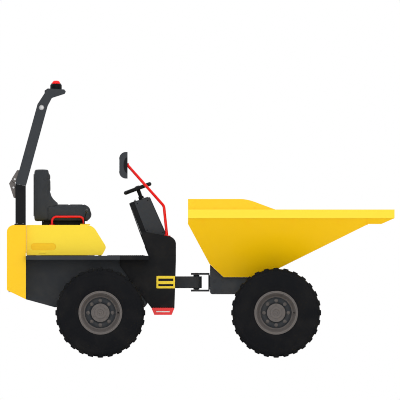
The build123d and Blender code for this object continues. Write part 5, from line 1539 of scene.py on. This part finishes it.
class DUMPER_OT_stage(bpy.types.Operator):
    """Pale floor, even sky, two soft lamps and the side camera"""
    bl_idname = "dumper.stage"
    bl_label = "Stage"

    def execute(self, context):
        sizes = settings().stage
        scene = context.scene
        scene.view_settings.view_transform = "Standard"
        scene.cycles.filter_width = 1.0
        floor = bpy.data.meshes.new("floor")
        corners = box_outline((-FLOOR_REACH, -FLOOR_REACH), (FLOOR_REACH, FLOOR_REACH))
        floor.from_pydata([(x, y, 0) for x, y in corners.tolist()], [], [(0, 1, 2, 3)])
        piece = bpy.data.objects.new("floor", floor)
        context.collection.objects.link(piece)
        pale, _ = new_material("pale floor", FLOOR_GREY, Roughness=0.9, Specular_IOR_Level=0.1)
        floor.materials.append(pale)
        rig.stage(piece)
        world = bpy.data.worlds.new("sky")
        scene.world = world
        world.use_nodes = True
        tree = world.node_tree
        # the camera sees plain white behind the object, and the object is lit by the sky's own strength
        sky = tree.nodes["Background"]
        sky.inputs["Color"].default_value = (1, 1, 1, 1)
        sky.inputs["Strength"].default_value = sizes.fill
        white = put_node(tree, "Background", {"Color": (1, 1, 1, 1), "Strength": 1.0})
        ray = put_node(tree, "LightPath", {}).outputs
        seen = put_node(tree, "Math", {0: ray["Is Camera Ray"], 1: ray["Is Transmission Ray"]},
                        operation="MAXIMUM")
        mix = put_node(tree, "MixShader", {0: seen.outputs[0], 1: sky.outputs[0], 2: white.outputs[0]})
        tree.links.new(mix.outputs[0], tree.nodes["World Output"].inputs[0])
        for name, place, width, share in LAMPS:
            lamp = bpy.data.lights.new(name, "AREA")
            lamp.energy, lamp.size, lamp.shape = sizes.key * share, width, "DISK"
            holder = bpy.data.objects.new(name, lamp)
            context.collection.objects.link(holder)
            holder.location = place
            holder.rotation_euler = (AIM - Vector(place)).to_track_quat("-Z", "Y").to_euler()
        camera = bpy.data.cameras.new("side camera")
        camera.type, camera.ortho_scale = "ORTHO", sizes.frame_width
        camera.clip_end = FLOOR_REACH
        eye = bpy.data.objects.new("side camera", camera)
        context.collection.objects.link(eye)
        eye.location = CAMERA_PLACE
        eye.rotation_euler = (math.pi / 2, 0, 0)
        scene.camera = eye
        return {"FINISHED"}


# ------------------------------------------------------------------ panel and run
OPERATORS = [cls for name, cls in list(globals().items()) if name.startswith("DUMPER_OT_")]
GROUPS = [DumperPaint, DumperTyres, DumperSeat, DumperStage, Dumper]


class DUMPER_PT_panel(bpy.types.Panel):
    """Lists the operators and the sizes and colours that they read"""
    bl_label = "Site dumper"
    bl_idname = "DUMPER_PT_panel"
    bl_space_type = "VIEW_3D"
    bl_region_type = "UI"
    bl_category = "Dumper"

    def draw(self, context):
        for cls in OPERATORS:
            self.layout.operator(cls.bl_idname)
        for group in ("paint", "tyres", "seat", "stage"):
            data = getattr(context.scene.dumper, group)
            for prop in data.bl_rna.properties:
                if not prop.is_readonly and prop.identifier != "name":
                    self.layout.prop(data, prop.identifier)


def register():
    """Register the settings, the operators and the panel."""
    for cls in (*GROUPS, *OPERATORS, DUMPER_PT_panel):
        bpy.utils.register_class(cls)
    bpy.types.Scene.dumper = PointerProperty(type=Dumper)


def unregister():
    """Take the settings, the operators and the panel out again."""
    del bpy.types.Scene.dumper
    for cls in reversed((*GROUPS, *OPERATORS, DUMPER_PT_panel)):
        bpy.utils.unregister_class(cls)


def main():
    """Register the add-on, make every piece in order, and note the CAD box and the dressed box."""
    register()
    for cls in OPERATORS:
        group, _, name = cls.bl_idname.partition(".")
        getattr(getattr(bpy.ops, group), name)()
    bpy.context.view_layer.update()
    with open("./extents.json", "w") as out:
        json.dump({"cad": CAD_BOX, "visual": [list(corner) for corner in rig.bounds()]}, out)


if __name__ == "__main__":
    main()
